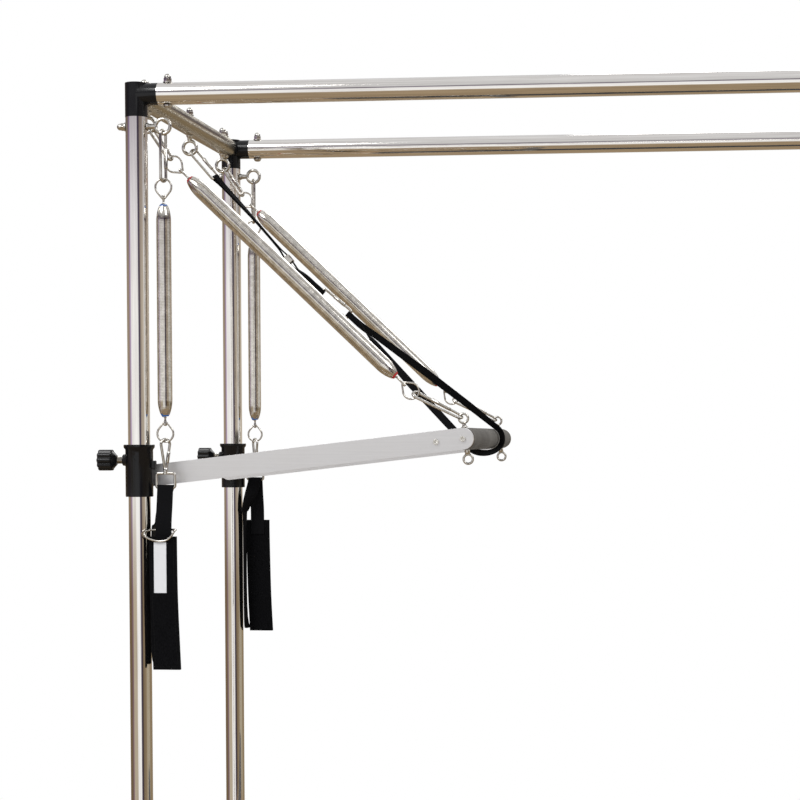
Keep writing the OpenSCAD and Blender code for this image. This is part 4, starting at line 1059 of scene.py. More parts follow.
dress(copies("bar-eyebolts", bar_eyes(),
             [aim(BAR_AT + b * LONG_Y * ACROSS, BAR_UP) for b in BOTH]),
      bright_plate, "bar_eyebolts")

# %% [markdown]
# ## Hooks and rings
#
# The springs and the strap hang on oval snap hooks: a bent wire that is closed by a gate on one
# side. A curve with a round bevel bends the wire, and the gate is a turned sleeve with pins.

# %% Snap hooks
HOOK_WIRE, HOOK_W = 0.0052, 0.013
GATE_R, GATE_STEP, GATE_GROOVE = HOOK_WIRE / 2 + 0.0008, 0.0008, 0.0004
GATE_FROM, GATE_TO = 0.35, 0.75
PIN_R, PIN_HALF = 0.0011, GATE_R + 0.0004


def snap_link(length, width=HOOK_W, near=None, far=None, narrow=1.0, twist=0.0):
    """A snap hook from the origin along Z, its width along Y; near and far are its ends' radii."""
    half = width / 2
    near, far = near or half, far or half
    outline = (arc((half - far, length - far), far, 0, 90, 7)
               + arc((far - half, length - far), far, 90, 180, 7)
               + arc((near - half, near), near, 180, 270, 7)
               + arc((half - near, near), near, 270, 360, 7))
    line = [(0, y, z) for y, z in outline]
    line = [p for i, p in enumerate(line) if (Vector(p) - Vector(line[i - 1])).length > MERGE]
    body = wire("link", line, HOOK_WIRE)
    start, end = length * GATE_FROM, length * GATE_TO
    gate = turned("gate", [(0, start), (GATE_R - GATE_STEP, start), (GATE_R, start + 0.0010),
                           (GATE_R, end - 0.0030), (GATE_R - GATE_GROOVE, end - 0.0026),
                           (GATE_R - GATE_GROOVE, end - 0.0018), (GATE_R, end - 0.0014),
                           (GATE_R - GATE_STEP, end), (0, end)],
                  Matrix.Translation((0, half, 0)), 24)
    pin = turned("pin", [(0, -PIN_HALF), (PIN_R, -PIN_HALF), (PIN_R, PIN_HALF), (0, PIN_HALF)],
                 aim((0, half, start + 0.003), (1, 0, 0)), 12)
    hook = joined("hook", [body, gate, pin])
    for v in hook.data.vertices:
        v.co.y *= 1 - (1 - narrow) * v.co.z / length
    hook.data.transform(Matrix.Rotation(math.radians(twist), 4, "Z"))
    return hook


# %% Where the long springs hang
def slope_run(degrees):
    """The direction that leads towards +X and down by an angle."""
    angle = math.radians(degrees)
    return Vector((math.cos(angle), 0, -math.sin(angle)))


EYE_HOOK, RING_HOOK, BAR_EYE_HOOK, HOOK_PLAY = 0.0068, 0.0097, 0.00325, 0.0043
TOP_LINK, LONG_SPAN = 0.084, 0.585
TOP_HOOK_RUN, LONG_SLOPE = slope_run(56.4), slope_run(43.7)
LONG_EYE = Vector((-POST_X, 0, RAIL_Z - CROSS_REACH))
LONG_TOP = LONG_EYE + TOP_LINK * TOP_HOOK_RUN
LONG_LOW = LONG_TOP + LONG_SPAN * LONG_SLOPE
LOW_HOOK_TOP = LONG_LOW + (RING_HOOK - HOOK_PLAY) * LONG_SLOPE
LOW_HOOK_RUN = BAR_AT + BAR_EYE_REACH * BAR_UP - LOW_HOOK_TOP
LOW_HOOK_W, LOW_HOOK_NARROW = 0.016, 0.62


def beside(point, y):
    """The same point at another distance from the middle plane."""
    return Vector((point.x, y, point.z))


dress(copies("long-top-hooks", snap_link(TOP_LINK - EYE_HOOK - RING_HOOK, twist=28),
             [aim(beside(LONG_EYE + EYE_HOOK * TOP_HOOK_RUN, b * LONG_Y), TOP_HOOK_RUN)
              for b in BOTH]), bright_plate, "long_top_hooks")
dress(copies("long-low-hooks", snap_link(LOW_HOOK_RUN.length - BAR_EYE_HOOK, LOW_HOOK_W,
                                         narrow=LOW_HOOK_NARROW, twist=34),
             [aim(beside(LOW_HOOK_TOP, b * LONG_Y), LOW_HOOK_RUN) for b in BOTH]),
      bright_plate, "long_low_hooks")

# %% [markdown]
# ## The springs' end rings
#
# A spring ends in a drop-shaped ring of wire on a turned neck, which is screwed into the coil. The
# drop is a wire bent round an arc with its open side drawn to the neck. Long springs have longer
# necks, and a short spring's top ring belongs to the same piece as its hook.

# %% Spring end rings
RING_MIDDLE, RING_WIRE, DROP_WIDTH = 0.01425, 0.0035, 0.0030
DROP_FROM, DROP_ROUND, DROP_STEPS = 142, 256, 30
LONG_NECK, SHORT_NECK, COLLAR_R = 0.0365, 0.029, 0.0032


def end_ring(neck):
    """A spring's end ring round the origin, its neck and the collar in the coil, along Z."""
    shaft = turned("neck", [(0, RING_MIDDLE - 0.0008), (0.0024, RING_MIDDLE - 0.0008),
                            (0.0034, RING_MIDDLE + 0.0022), (0.0026, RING_MIDDLE + 0.0060),
                            (0.0018, RING_MIDDLE + 0.0100), (0.0018, neck - 0.0018),
                            (0.7 * COLLAR_R, neck - 0.0010), (COLLAR_R, neck - 0.0004),
                            (COLLAR_R, neck), (0.0018, neck + 0.0002), (0.0018, neck + 0.004),
                            (0, neck + 0.004)], steps=24)
    drop = arc((0, 0), RING_MIDDLE, DROP_FROM, DROP_FROM + DROP_ROUND, DROP_STEPS)
    drop += [(side * DROP_WIDTH, RING_MIDDLE + 0.0048) for side in (1, -1)]
    return joined("end ring", [wire("ring", [(x, 0, z) for x, z in drop], RING_WIRE), shaft])


for end, place, run in (("top", LONG_TOP, LONG_SLOPE), ("low", LONG_LOW, -LONG_SLOPE)):
    dress(copies("long-" + end + "-rings", end_ring(LONG_NECK),
                 [aim(beside(place, b * LONG_Y), run) for b in BOTH]),
          bright_plate, "long_" + end + "_rings")

SHORT_LINK, SHORT_SPAN = 0.105, 0.429
SHORT_X = -POST_X + POST_REACH
SHORT_TOP_Z = EYE_Z - SHORT_LINK
SHORT_LOW_Z = SHORT_TOP_Z - SHORT_SPAN
DOWN = -UP
for side, b in SIDES:
    hook = snap_link(SHORT_LINK - EYE_HOOK - RING_HOOK, twist=-b * 28)
    hook.data.transform(aim((SHORT_X, b * POST_Y, EYE_Z - EYE_HOOK), DOWN))
    top = end_ring(SHORT_NECK)
    top.data.transform(aim((SHORT_X, b * POST_Y, SHORT_TOP_Z), DOWN))
    dress(joined(side + "-short-links", [hook, top]), bright_plate, side + "_short_links")
    low = end_ring(SHORT_NECK)
    low.name = side + "-low-ring"
    low.data.transform(aim((SHORT_X, b * POST_Y, SHORT_LOW_Z), UP))
    dress(low, bright_plate, side + "_low_ring")

# %% [markdown]
# ## Springs
#
# The springs are wound close, turn on turn, and their ends draw in like a cigar's. The wire's
# section is worn flat outside, which is why the coils shine in long streaks. The Screw modifier
# winds the section up; then each point moves in by what the spring's outline says at its place along
# it. The last turns are dipped in paint, red on the long springs and blue on the short ones.

# %% Winding a spring
END_RADIUS, TAPER_SHARE, TAPER_POWER, PAINTED = 0.0034, 1.2, 0.75, 0.0045
WINDING_T, TURN_GAP, TURN_STEPS = 0.003, 1.015, 24
LONG_WIRE, SHORT_WIRE = 0.0030, 0.0026
LONG_COIL, LONG_D, SHORT_COIL, SHORT_D = 0.512, 0.029, 0.371, 0.026


def outline_radius(along, length, diameter):
    """The middle radius of the winding at a place along the spring."""
    full = (diameter - WINDING_T) / 2
    near = max(0.0, min(along, length - along, TAPER_SHARE * diameter)) / (TAPER_SHARE * diameter)
    return END_RADIUS + (full - END_RADIUS) * max(0.0, 1 - (1 - near) ** 2) ** TAPER_POWER


def wound_spring(name, length, diameter, thickness, place, paint):
    """A close-wound spring along Z with tapered, painted ends."""
    turns = round((length - thickness) / (thickness * TURN_GAP))
    full, half = (diameter - WINDING_T) / 2, thickness / 2
    section = [(1, -0.9), (1, 0.9), (0.84, 0.99), (-0.6, 0.98), (-0.87, 0.67), (-0.87, -0.67),
               (-0.6, -0.98), (0.84, -0.99)]
    count = len(section)
    obj = mesh_object(name, [(full + r * half, 0, half + z * half) for r, z in section],
                      [(i, (i + 1) % count) for i in range(count)])
    winding = obj.modifiers.new("winding", "SCREW")
    winding.screw_offset = (length - thickness) / turns
    winding.iterations = turns
    winding.steps = winding.render_steps = TURN_STEPS
    winding.use_smooth_shade = True
    bake_modifiers(obj)
    edit(obj, lambda: bpy.ops.mesh.fill_holes(sides=count), face_out)
    for v in obj.data.vertices:
        reach = math.hypot(v.co.x, v.co.y)
        moved = reach + outline_radius(v.co.z, length, diameter) - full
        v.co.x *= moved / reach
        v.co.y *= moved / reach
    smooth(obj, 30)
    obj.data.materials.append(spring_wire)
    obj.data.materials.append(paint)
    for face in obj.data.polygons:
        face.material_index = int(min(face.center.z, length - face.center.z) < PAINTED)
    obj.data.transform(place)
    return obj


# %% The four springs
for side, b in SIDES:
    top, low = (beside(p, b * LONG_Y) for p in (LONG_TOP + LONG_NECK * LONG_SLOPE,
                                                LONG_LOW - LONG_NECK * LONG_SLOPE))
    spring = wound_spring(side + "-long-spring", LONG_COIL, LONG_D, LONG_WIRE,
                          aim(top, LONG_SLOPE), red_paint)
    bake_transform(spring)
    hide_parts(side + "_long_spring")
    top = Vector((SHORT_X, b * POST_Y, SHORT_TOP_Z - SHORT_NECK))
    spring = wound_spring(side + "-short-spring", SHORT_COIL, SHORT_D, SHORT_WIRE,
                          aim(top, DOWN), blue_paint)
    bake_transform(spring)
    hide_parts(side + "_short_spring")
    print(side, "springs:", len(spring.data.polygons), "faces on the short one")

# %% [markdown]
# ## Hand loops
#
# Each short spring carries a swivel hook, a wire ring, a webbing strap and a padded band. The hook
# is one bent wire with a gate on one leg, and its swivel is turned. The ring is a rounded rectangle
# of wire, so that the webbing folds over a straight side. Hook and ring are joined, because they
# stand for one node.

# %% Swivel hooks and webbing rings
SNAP_TOP = SHORT_LOW_Z - RING_HOOK
SNAP_LENGTH, SNAP_BOW, SNAP_WIRE, SNAP_FEET = 0.062, 0.0092, 0.0050, 0.0016
SNAP_FOOT = -SNAP_LENGTH + 0.0105
SNAP_TURN = math.radians(50)
WEB_RING_TOP = SNAP_TOP - SNAP_LENGTH + 0.005
WEB_RING_W, WEB_RING_H, WEB_RING_WIRE, WEB_RING_CORNER = 0.038, 0.030, 0.0048, 0.004
CORNER_STEPS = 6


def swivel_hook(b):
    """The hook of one side, in its place."""
    bow = arc((0, -SNAP_BOW), SNAP_BOW, 0, 180, 14)
    legs = [(SNAP_FEET, SNAP_FOOT)] + bow + [(-SNAP_FEET, SNAP_FOOT)]
    body = wire("hook", [(x, 0, z) for x, z in legs], SNAP_WIRE, closed=False)
    leg = Vector((SNAP_BOW - SNAP_FEET, 0, -SNAP_BOW - SNAP_FOOT))
    gate = turned("gate", [(0, 0.010), (0.0024, 0.010), (0.0031, 0.011), (0.0031, 0.0285),
                           (0.0026, 0.030), (0, 0.030)],
                  aim((SNAP_FEET, 0, SNAP_FOOT), leg), 24)
    swivel = turned("swivel", [(0, 0), (0.0045, 0), (0.0045, 0.0028), (0.0038, 0.0034),
                               (0.0038, 0.0052), (0.0045, 0.0058), (0.0045, 0.0100),
                               (0.0036, 0.0112), (0, 0.0112)],
                    Matrix.Translation((0, 0, -SNAP_LENGTH + 0.001)), 24)
    hook = joined("hook", [body, gate, swivel])
    hook.data.transform(Matrix.Translation((SHORT_X, b * POST_Y, SNAP_TOP))
                        @ Matrix.Rotation(-b * SNAP_TURN, 4, "Z"))
    return hook


# %% Rings for the webbing
def round_rectangle(width, height, corner_r):
    """A rounded rectangle's outline about the origin, as (across, up) pairs."""
    x, y = width / 2 - corner_r, height / 2 - corner_r
    middles = ((x, y), (-x, y), (-x, -y), (x, -y))
    return [p for i, at in enumerate(middles)
            for p in arc(at, corner_r, 90 * i, 90 * (i + 1), CORNER_STEPS)]


for side, b in SIDES:
    outline = round_rectangle(WEB_RING_W - WEB_RING_WIRE, WEB_RING_H - WEB_RING_WIRE,
                              WEB_RING_CORNER)
    middle = Vector((SHORT_X, b * POST_Y, WEB_RING_TOP - WEB_RING_H / 2))
    web_ring = wire("ring", [(x, 0, z) for x, z in outline], WEB_RING_WIRE,
                    place=Matrix.Translation(middle))
    dress(joined(side + "-loop-hook", [swivel_hook(b), web_ring]), bright_plate,
          side + "_loop_hook")

# %% [markdown]
# ## Webbing
#
# A strap is flat, bends easily one way and hardly the other, and turns edge-on where it has to, as
# the rear run of each hand loop does. A plane that is bent by hand would lose its weave, so a grid
# is laid along a smooth line instead: each row gets a place and a direction for its width. Solidify
# gives it its thickness, and its UV map is in ribs, so that the weave has one size on all straps.

# %% Straps along a line
RIB = 0.0011
WAVE_PERIOD = math.tau / 20
STRAP_COLUMNS = 5
LAY_GAP = 0.0003


def smooth_run(points, per_run):
    """More points on a smooth line through the given ones."""
    spots = [Vector(p) for p in points]
    ends = [2 * spots[0] - spots[1]] + spots + [2 * spots[-1] - spots[-2]]
    run = []
    for i in range(1, len(ends) - 2):
        before, start, end, after = ends[i - 1:i + 3]
        for step in range(per_run):
            t = step / per_run
            run.append(0.5 * (2 * start + (end - before) * t
                              + (2 * before - 5 * start + 4 * end - after) * t * t
                              + (3 * start - before - 3 * end + after) * t ** 3))
    return run + [spots[-1]]


def strap(name, points, across, width, thickness, per_run=6):
    """A flat strap along points; a direction at each says where its width runs, and how wide."""
    line, sides = smooth_run(points, per_run), smooth_run(across, per_run)
    rows = len(line)
    bpy.ops.object.select_all(action="DESELECT")
    bpy.ops.mesh.primitive_grid_add(x_subdivisions=STRAP_COLUMNS - 1, y_subdivisions=rows - 1,
                                    size=1)
    obj = settle(bpy.context.active_object)
    obj.name = name
    length = sum((line[i + 1] - line[i]).length for i in range(rows - 1))
    for v in obj.data.vertices:
        row = round((v.co.y + 0.5) * (rows - 1))
        share = v.co.x
        v.co = line[row] + share * width * sides[row]
    for loop in obj.data.uv_layers.active.data:
        loop.uv = (loop.uv.x * width / RIB * WAVE_PERIOD, loop.uv.y * length / RIB * WAVE_PERIOD)
    body = obj.modifiers.new("body", "SOLIDIFY")
    body.thickness = thickness
    body.offset = 0
    bake_modifiers(obj)
    edit(obj, face_out)
    ease(obj, thickness * 0.22, 2, 60)
    print(name, round(length * 1000), "mm long")
    return obj


# %% Webbing of the hand loops
WEB_W, WEB_T = 0.028, 0.0024
FOLD_Z = WEB_RING_TOP - WEB_RING_H + WEB_RING_WIRE / 2
FOLD_LAY = WEB_RING_WIRE / 2 + LAY_GAP + WEB_T / 2
BAND_TOP, BAND_LOW, BAND_Y, BAND_W, BAND_T = 1.3313, 1.0993, 0.022, 0.048, 0.008
RUN_Y = BAND_Y - BAND_T / 2 - LAY_GAP - WEB_T / 2
STRAND_X = -0.0225
SIDEWAYS = (1, 0, 0)


def loop_webbing(side, b):
    """Front run, fold over the ring and rear run as one strap; out is away from the middle."""
    def spot(x, out, z):
        return SHORT_X + x, b * (POST_Y + out), z

    def lean(x, out):
        return x, b * out, 0

    fold = [spot(0, FOLD_LAY * math.cos(t), FOLD_Z + FOLD_LAY * math.sin(t))
            for t in (math.pi * i / 8 for i in range(9))]
    front = [spot(0, RUN_Y, BAND_TOP - 0.030), spot(0, RUN_Y, BAND_TOP + 0.020),
             spot(0, (RUN_Y + FOLD_LAY) / 2 - 0.001, FOLD_Z - 0.030)]
    rear = [spot(-0.008, -0.007, FOLD_Z - 0.030), spot(STRAND_X + 0.002, -0.005, FOLD_Z - 0.062),
            spot(STRAND_X, -0.002, FOLD_Z - 0.090), spot(STRAND_X, 0.002, BAND_LOW + 0.030),
            spot(STRAND_X + 0.008, 0.010, BAND_LOW + 0.010),
            spot(STRAND_X + 0.012, RUN_Y, BAND_LOW + 0.009)]
    turning = [lean(0.8, 0.6), lean(0.25, 0.97), lean(0, 1), lean(0, 1), lean(0.5, 0.86),
               lean(0.8, 0.6)]
    across = [SIDEWAYS] * (len(front) + len(fold)) + turning
    web = strap(side + "-loop-webbing", front + fold + rear, across, WEB_W, WEB_T)
    return dress(web, webbing, side + "_loop_webbing")


for side, b in SIDES:
    loop_webbing(side, b)

# %% [markdown]
# ## Padded bands, label and slide
#
# The band is a sewn pad: a box whose edges are rounded, with a row of stitches near each long edge
# and across its ends. One stitch is a tiny eased box that is copied along the seam. The white label
# on the front band is blank, and a wire slide lies over the band's top.

# %% Padded bands
BAND_LEAN, BAND_WAVE, BAND_EDGE = 0.006, 0.0006, 0.0028
SIDE_SEAM, SEAM_START, END_SEAM, END_SEAM_IN = 0.0045, 0.004, 0.005, 0.006


def stitch_row(start, end, face, pitch=0.0046):
    """Places of stitches from one point to another, lying on a face."""
    start, end, over = Vector(start), Vector(end), Vector(face)
    length = (end - start).length
    run = (end - start).normalized()
    count = int(length / pitch)
    turn_to = Matrix((run, over.cross(run), over)).transposed().to_4x4()
    return [Matrix.Translation(start + run * (i + 0.5) * length / count) @ turn_to
            for i in range(count)]


def stitch(length=0.0030, width=0.0008, height=0.0007):
    """One stitch: a short bead of thread along X."""
    return ease(box("stitch", (-length / 2, -width / 2, -height / 2),
                    (length / 2, width / 2, height / 2)), 0.0002, 1)


def band(side, b):
    """The padded band of one side, with its seams."""
    out = b * (POST_Y + BAND_Y)
    pad = box(side + "-loop-band", (SHORT_X - BAND_W / 2, out - BAND_T / 2, BAND_LOW),
              (SHORT_X + BAND_W / 2, out + BAND_T / 2, BAND_TOP))
    edit(pad, lambda: bpy.ops.mesh.subdivide(number_cuts=12))
    ease(pad, BAND_EDGE, 4)
    random.seed(5 if b < 0 else 6)
    phase = random.random() * 6
    outside = out + b * BAND_T / 2
    seam_x, end_x = BAND_W / 2 - SIDE_SEAM, BAND_W / 2 - END_SEAM_IN
    rows = [stitch_row((SHORT_X + x, outside, BAND_TOP - SEAM_START),
                       (SHORT_X + x, outside, BAND_LOW + SEAM_START), (0, b, 0))
            for x in (-seam_x, seam_x)]
    rows += [stitch_row((SHORT_X - end_x, outside, z), (SHORT_X + end_x, outside, z), (0, b, 0))
             for z in (BAND_TOP - END_SEAM, BAND_LOW + END_SEAM)]
    seams = finish(copies("seams", stitch(), [p for row in rows for p in row]), thread)
    whole = joined(side + "-loop-band", [finish(pad, band_cloth), seams])
    for v in whole.data.vertices:
        down = (BAND_TOP - v.co.z) / (BAND_TOP - BAND_LOW)
        v.co.x += BAND_LEAN * down * down
        v.co.y += b * BAND_WAVE * (math.sin(9 * down + phase) - 1)
    dress(whole, None, side + "_loop_band")
    return whole


for side, b in SIDES:
    band(side, b)

# %% Label and slide
LABEL_W, LABEL_L, LABEL_T, LABEL_RIB = 0.022, 0.088, 0.0006, 0.0006
LABEL_IN, LABEL_DOWN = 0.009, 0.010
LABEL_SEAM, LABEL_SEAM_START, LABEL_PITCH = 0.0016, 0.002, 0.003
front_face = -POST_Y - BAND_Y - BAND_T / 2
label_low = Vector((SHORT_X - BAND_W / 2 + LABEL_IN, front_face - LABEL_T,
                    BAND_TOP - LABEL_DOWN - LABEL_L))
label = box("front-loop-label", label_low, label_low + Vector((LABEL_W, LABEL_T, LABEL_L)))
edit(label, lambda: bpy.ops.mesh.subdivide(number_cuts=9))
for loop in label.data.loops:
    at = label.data.vertices[loop.vertex_index].co
    label.data.uv_layers.active.data[loop.index].uv = (at.x / LABEL_RIB * WAVE_PERIOD,
                                                       at.z / LABEL_RIB * WAVE_PERIOD)
ease(label, 0.0002, 1)
rows = [stitch_row(label_low + Vector((x, 0, LABEL_SEAM_START)),
                   label_low + Vector((x, 0, LABEL_L - LABEL_SEAM_START)), -ACROSS, LABEL_PITCH)
        for x in (LABEL_SEAM, LABEL_W - LABEL_SEAM)]
label_seams = copies("label seams", stitch(0.0019, 0.0004, 0.0003),
                     [p for row in rows for p in row])
label_parts = [finish(label, label_cloth), finish(label_seams, label_thread)]
dress(joined("front-loop-label", label_parts), None, "front_loop_label")

SLIDE_WIRE, SLIDE_PLAY = 0.0038, 0.0008
before = front_face - SLIDE_WIRE / 2 - SLIDE_PLAY
behind = -POST_Y - RUN_Y + WEB_T / 2 + SLIDE_WIRE / 2
between = (before + behind) / 2
smile = [(-0.031, 0.0050), (-0.0285, 0.0005), (-0.022, -0.0030), (-0.012, -0.0060),
         (-0.002, -0.0070), (0.008, -0.0050), (0.0155, 0.0005), (0.0205, 0.0080)]
slide_line = [(x, before, z) for x, z in smile] + [
    (0.0210, between, 0.0115), (0.017, behind, 0.0125), (-0.022, behind, 0.0120),
    (-0.0295, between, 0.0095)]
slide = wire("front-loop-buckle", smooth_run(slide_line + slide_line[:1], 4)[:-1], SLIDE_WIRE,
             place=Matrix.Translation((SHORT_X, 0, BAND_TOP - 0.001)))
dress(slide, bright_plate, "front_loop_buckle")

# %% [markdown]
# ## Safety strap
#
# The strap hangs from the crossbar's middle eye: a snap hook, a doubled webbing with its adjuster,
# a second hook, and a loop that runs down over the push bar and back up. Its pieces turn about the
# run, because the hooks hang askew and the webbing between them twists. So one function says where
# a point along the strap lies, one how far it has turned, and all the pieces use both.

# %% The strap's line and twist
STRAP_EYE = Vector((-POST_X, STRAP_Y, RAIL_Z - CROSS_REACH))
SOLID_SLOPE, STRAP_SLOPE = 50.5, 49.2
STRAP_BEND, STRAP_BEND_AT, STRAP_BOW = 9.2, 0.308, 0.004
STRAP_W, STRAP_T = 0.011, 0.002
STRAP_HOOK, ADJUSTER, STRAP_SNAP, STRAP_END = 0.076, 0.288, 0.378, 0.446
STRAP_HOOK_W = STRAP_W + 0.001 + HOOK_WIRE
STRAP_LAY = HOOK_WIRE / 2 + LAY_GAP + STRAP_T / 2
STRAP_PAIR, STRAP_RISE = STRAP_T / 2 + 0.0002, STRAP_T / 2 + 0.0025
TOP_TWIST = math.radians(40)
TOP_EASE, LOW_EASE = (STRAP_HOOK + 0.010, 0.12), (ADJUSTER + 0.020, 0.05)


def over_of(run):
    """The direction that stands on a downward run, in the plane of X and Z."""
    return Vector((-run.z, 0, run.x))


STRAP_RUNS = slope_run(STRAP_SLOPE), slope_run(STRAP_SLOPE - STRAP_BEND)
STRAP_KNEE = STRAP_EYE + STRAP_BEND_AT * STRAP_RUNS[0]


def clamped(share):
    """A share that stays between 0 and 1."""
    return min(1.0, max(0.0, share))


def eased(share):
    """A share between 0 and 1 that starts and stops gently."""
    share = clamped(share)
    return share * share * (3 - 2 * share)


def twist_at(along):
    """How far the strap has turned about its run: some at the top hook, a quarter at the low one."""
    return (TOP_TWIST * (1 - eased((along - TOP_EASE[0]) / TOP_EASE[1]))
            + QUARTER * eased((along - LOW_EASE[0]) / LOW_EASE[1]))


def lift_at(along):
    """How the webbing between the hooks bows up a little, as a slack strap does."""
    share = clamped((along - STRAP_HOOK) / (STRAP_SNAP - STRAP_HOOK))
    return STRAP_BOW * math.sin(math.pi * share) * over_of(STRAP_RUNS[0])


def on_strap(along, over=0.0):
    """A point at a distance along the upper strap, and over its middle; it bends at its knee."""
    run = STRAP_RUNS[int(along > STRAP_BEND_AT)]
    turn = twist_at(along)
    out = math.cos(turn) * over_of(run) - math.sin(turn) * ACROSS
    return STRAP_KNEE + (along - STRAP_BEND_AT) * run + lift_at(along) + over * out


def strap_side(along):
    """Where the upper strap's width runs."""
    run = STRAP_RUNS[int(along > STRAP_BEND_AT)]
    turn = twist_at(along)
    return math.cos(turn) * ACROSS + math.sin(turn) * over_of(run)


print("strap bends at", [round(x, 3) for x in STRAP_KNEE])

# %% [markdown]
# ## The strap's hooks and upper webbing
#
# The hooks are the snap hooks of before with square ends for the webbing. The webbing goes down to
# the lower hook, round it and back up, so it is one strap whose line has two folds and parts at the
# adjuster. The adjuster keeps its CAD shape and moves to where the visible strap runs.

# %% Strap hooks and upper webbing
SQUARE = 0.003
top_hook = snap_link(STRAP_HOOK - EYE_HOOK, STRAP_HOOK_W, far=SQUARE, twist=40)
top_hook.data.transform(aim(on_strap(EYE_HOOK), STRAP_RUNS[0]))
low_hook = snap_link(STRAP_END - STRAP_SNAP, STRAP_HOOK_W, SQUARE, SQUARE, twist=90)
low_hook.data.transform(aim(on_strap(STRAP_SNAP), STRAP_RUNS[1]))
dress(joined("strap-hooks", [top_hook, low_hook]), bright_plate, "strap_hooks")

half_turn = [math.pi * i / 8 for i in range(9)]
near_fold = [(STRAP_HOOK - STRAP_LAY * math.sin(t), STRAP_LAY * math.cos(t)) for t in half_turn]
far_fold = [(STRAP_SNAP + STRAP_LAY * math.sin(t), -STRAP_LAY * math.cos(t)) for t in half_turn]


def upper_side(sign):
    """The strap's places on one side of the adjuster, from the top hook down."""
    above = [STRAP_HOOK + 0.024, STRAP_HOOK + 0.070, STRAP_HOOK + 0.120, ADJUSTER - 0.030]
    parted = [ADJUSTER - 0.010, ADJUSTER + 0.010]
    below = [ADJUSTER + 0.026, ADJUSTER + 0.040, ADJUSTER + 0.054, STRAP_SNAP - 0.018]
    return ([(at, sign * STRAP_PAIR) for at in above] + [(at, sign * STRAP_RISE) for at in parted]
            + [(at, sign * STRAP_PAIR) for at in below])


upper = near_fold + upper_side(-1) + far_fold + upper_side(1)[::-1] + near_fold[:1]
upper_web = strap("strap-upper", [on_strap(at, over) for at, over in upper],
                  [strap_side(at) for at, over in upper], STRAP_W, STRAP_T, 4)
dress(upper_web, webbing, "strap_upper")
adjuster = fine_copy("strap_adjuster", bright_plate, 0.0005)
solid_place = STRAP_EYE + ADJUSTER * slope_run(SOLID_SLOPE)
adjuster.data.transform(Matrix.Translation(on_strap(ADJUSTER) - solid_place))

# %% [markdown]
# ## The strap's lower loop
#
# From the lower hook two strands run down to the bar, spread along it and meet in a wrap round the
# grip. The wrap leans, as a strap does that is pulled sideways.

# %% The wrap round the bar
STRAP_LOW = on_strap(STRAP_END)
low_run = BAR_AT - beside(STRAP_LOW, 0)
LOW_REACH = low_run.length
low_run.normalize()
low_over = over_of(low_run)
LOW_SLOPE = math.atan2(-low_run.z, low_run.x)
LOOP_W, WRAP_LEAN = 0.015, math.radians(42)
WRAP_R = GRIP_R + 0.0012 + LOOP_W / 2 * math.sin(WRAP_LEAN) + STRAP_T / 2
STRAND_BACK, STRAND_FRONT = 0.080, -0.050
WRAP_START, WRAP_TURN, WRAP_STEPS = QUARTER - LOW_SLOPE, math.radians(-200), 24
CROSS_FROM, LONGEST_STEP = 0.35, 0.02


def wrap(share):
    """A point of the strap round the bar; it crosses to its front strand below the bar."""
    t = WRAP_START + WRAP_TURN * share
    across = eased((share - CROSS_FROM) / (1 - CROSS_FROM))
    return Vector((BAR_AT.x + WRAP_R * math.cos(t),
                   STRAND_BACK + (STRAND_FRONT - STRAND_BACK) * across,
                   BAR_AT.z + WRAP_R * math.sin(t)))


def wrap_side(share):
    """Where the strap's width runs there: across its run, leaning out from the bar."""
    t = WRAP_START + WRAP_TURN * share
    out = Vector((math.cos(t), 0, math.sin(t)))
    run = wrap(clamped(share + 0.02)) - wrap(clamped(share - 0.02))
    flat = run.cross(out).normalized()
    return (math.cos(WRAP_LEAN) * flat + math.sin(WRAP_LEAN) * out).normalized()


def on_strand(along, y, over):
    """A point beside the straight line from the hook to the bar."""
    return beside(STRAP_LOW, y) + along * low_run + over * low_over


# %% The two strands
shares = [i / WRAP_STEPS for i in range(WRAP_STEPS + 1)]
hook_spot, face_on = beside(STRAP_LOW, STRAP_Y), STRAP_W / LOOP_W * low_over
low_fold = [hook_spot - STRAP_LAY * (math.cos(t) * ACROSS + math.sin(t) * low_run)
            for t in half_turn]
back_strand = [on_strand(0.001, STRAP_Y + STRAP_LAY, 0.0),
               on_strand(0.030, STRAP_Y + 0.0042, 0.0006), on_strand(0.060, STRAP_Y + 0.009, 0.0040),
               on_strand(0.5 * LOW_REACH, STRAND_BACK * 0.55, 0.0150),
               on_strand(0.8 * LOW_REACH, STRAND_BACK * 0.9, 0.0225)]
back_lean = [face_on, face_on, 0.8 * low_over,
             Vector((0, -0.25, 0)) + 0.95 * low_over, Vector((0, -0.5, 0)) + 0.85 * low_over]
front_strand = [on_strand(0.8 * LOW_REACH, STRAND_FRONT * 0.9, -0.0210),
                on_strand(0.5 * LOW_REACH, STRAND_FRONT * 0.5, -0.0140),
                on_strand(0.075, STRAP_Y - 0.010, -0.0060),
                on_strand(0.052, STRAP_Y - 0.008, -0.0030),
                on_strand(0.030, STRAP_Y - 0.0056, -0.0006),
                on_strand(0.001, STRAP_Y - STRAP_LAY, 0.0)]
front_lean = [Vector((0, -0.5, 0)) - 0.85 * low_over, Vector((0, -0.25, 0)) - 0.95 * low_over,
              Vector((0, -0.4, 0)) - 0.6 * low_over, Vector((0, -0.75, 0)),
              Vector((0, -0.3, 0)) + 0.65 * low_over, face_on]
loop_points = back_strand + [wrap(s) for s in shares] + front_strand + low_fold
loop_sides = back_lean + [wrap_side(s) for s in shares] + front_lean + [face_on] * len(low_fold)


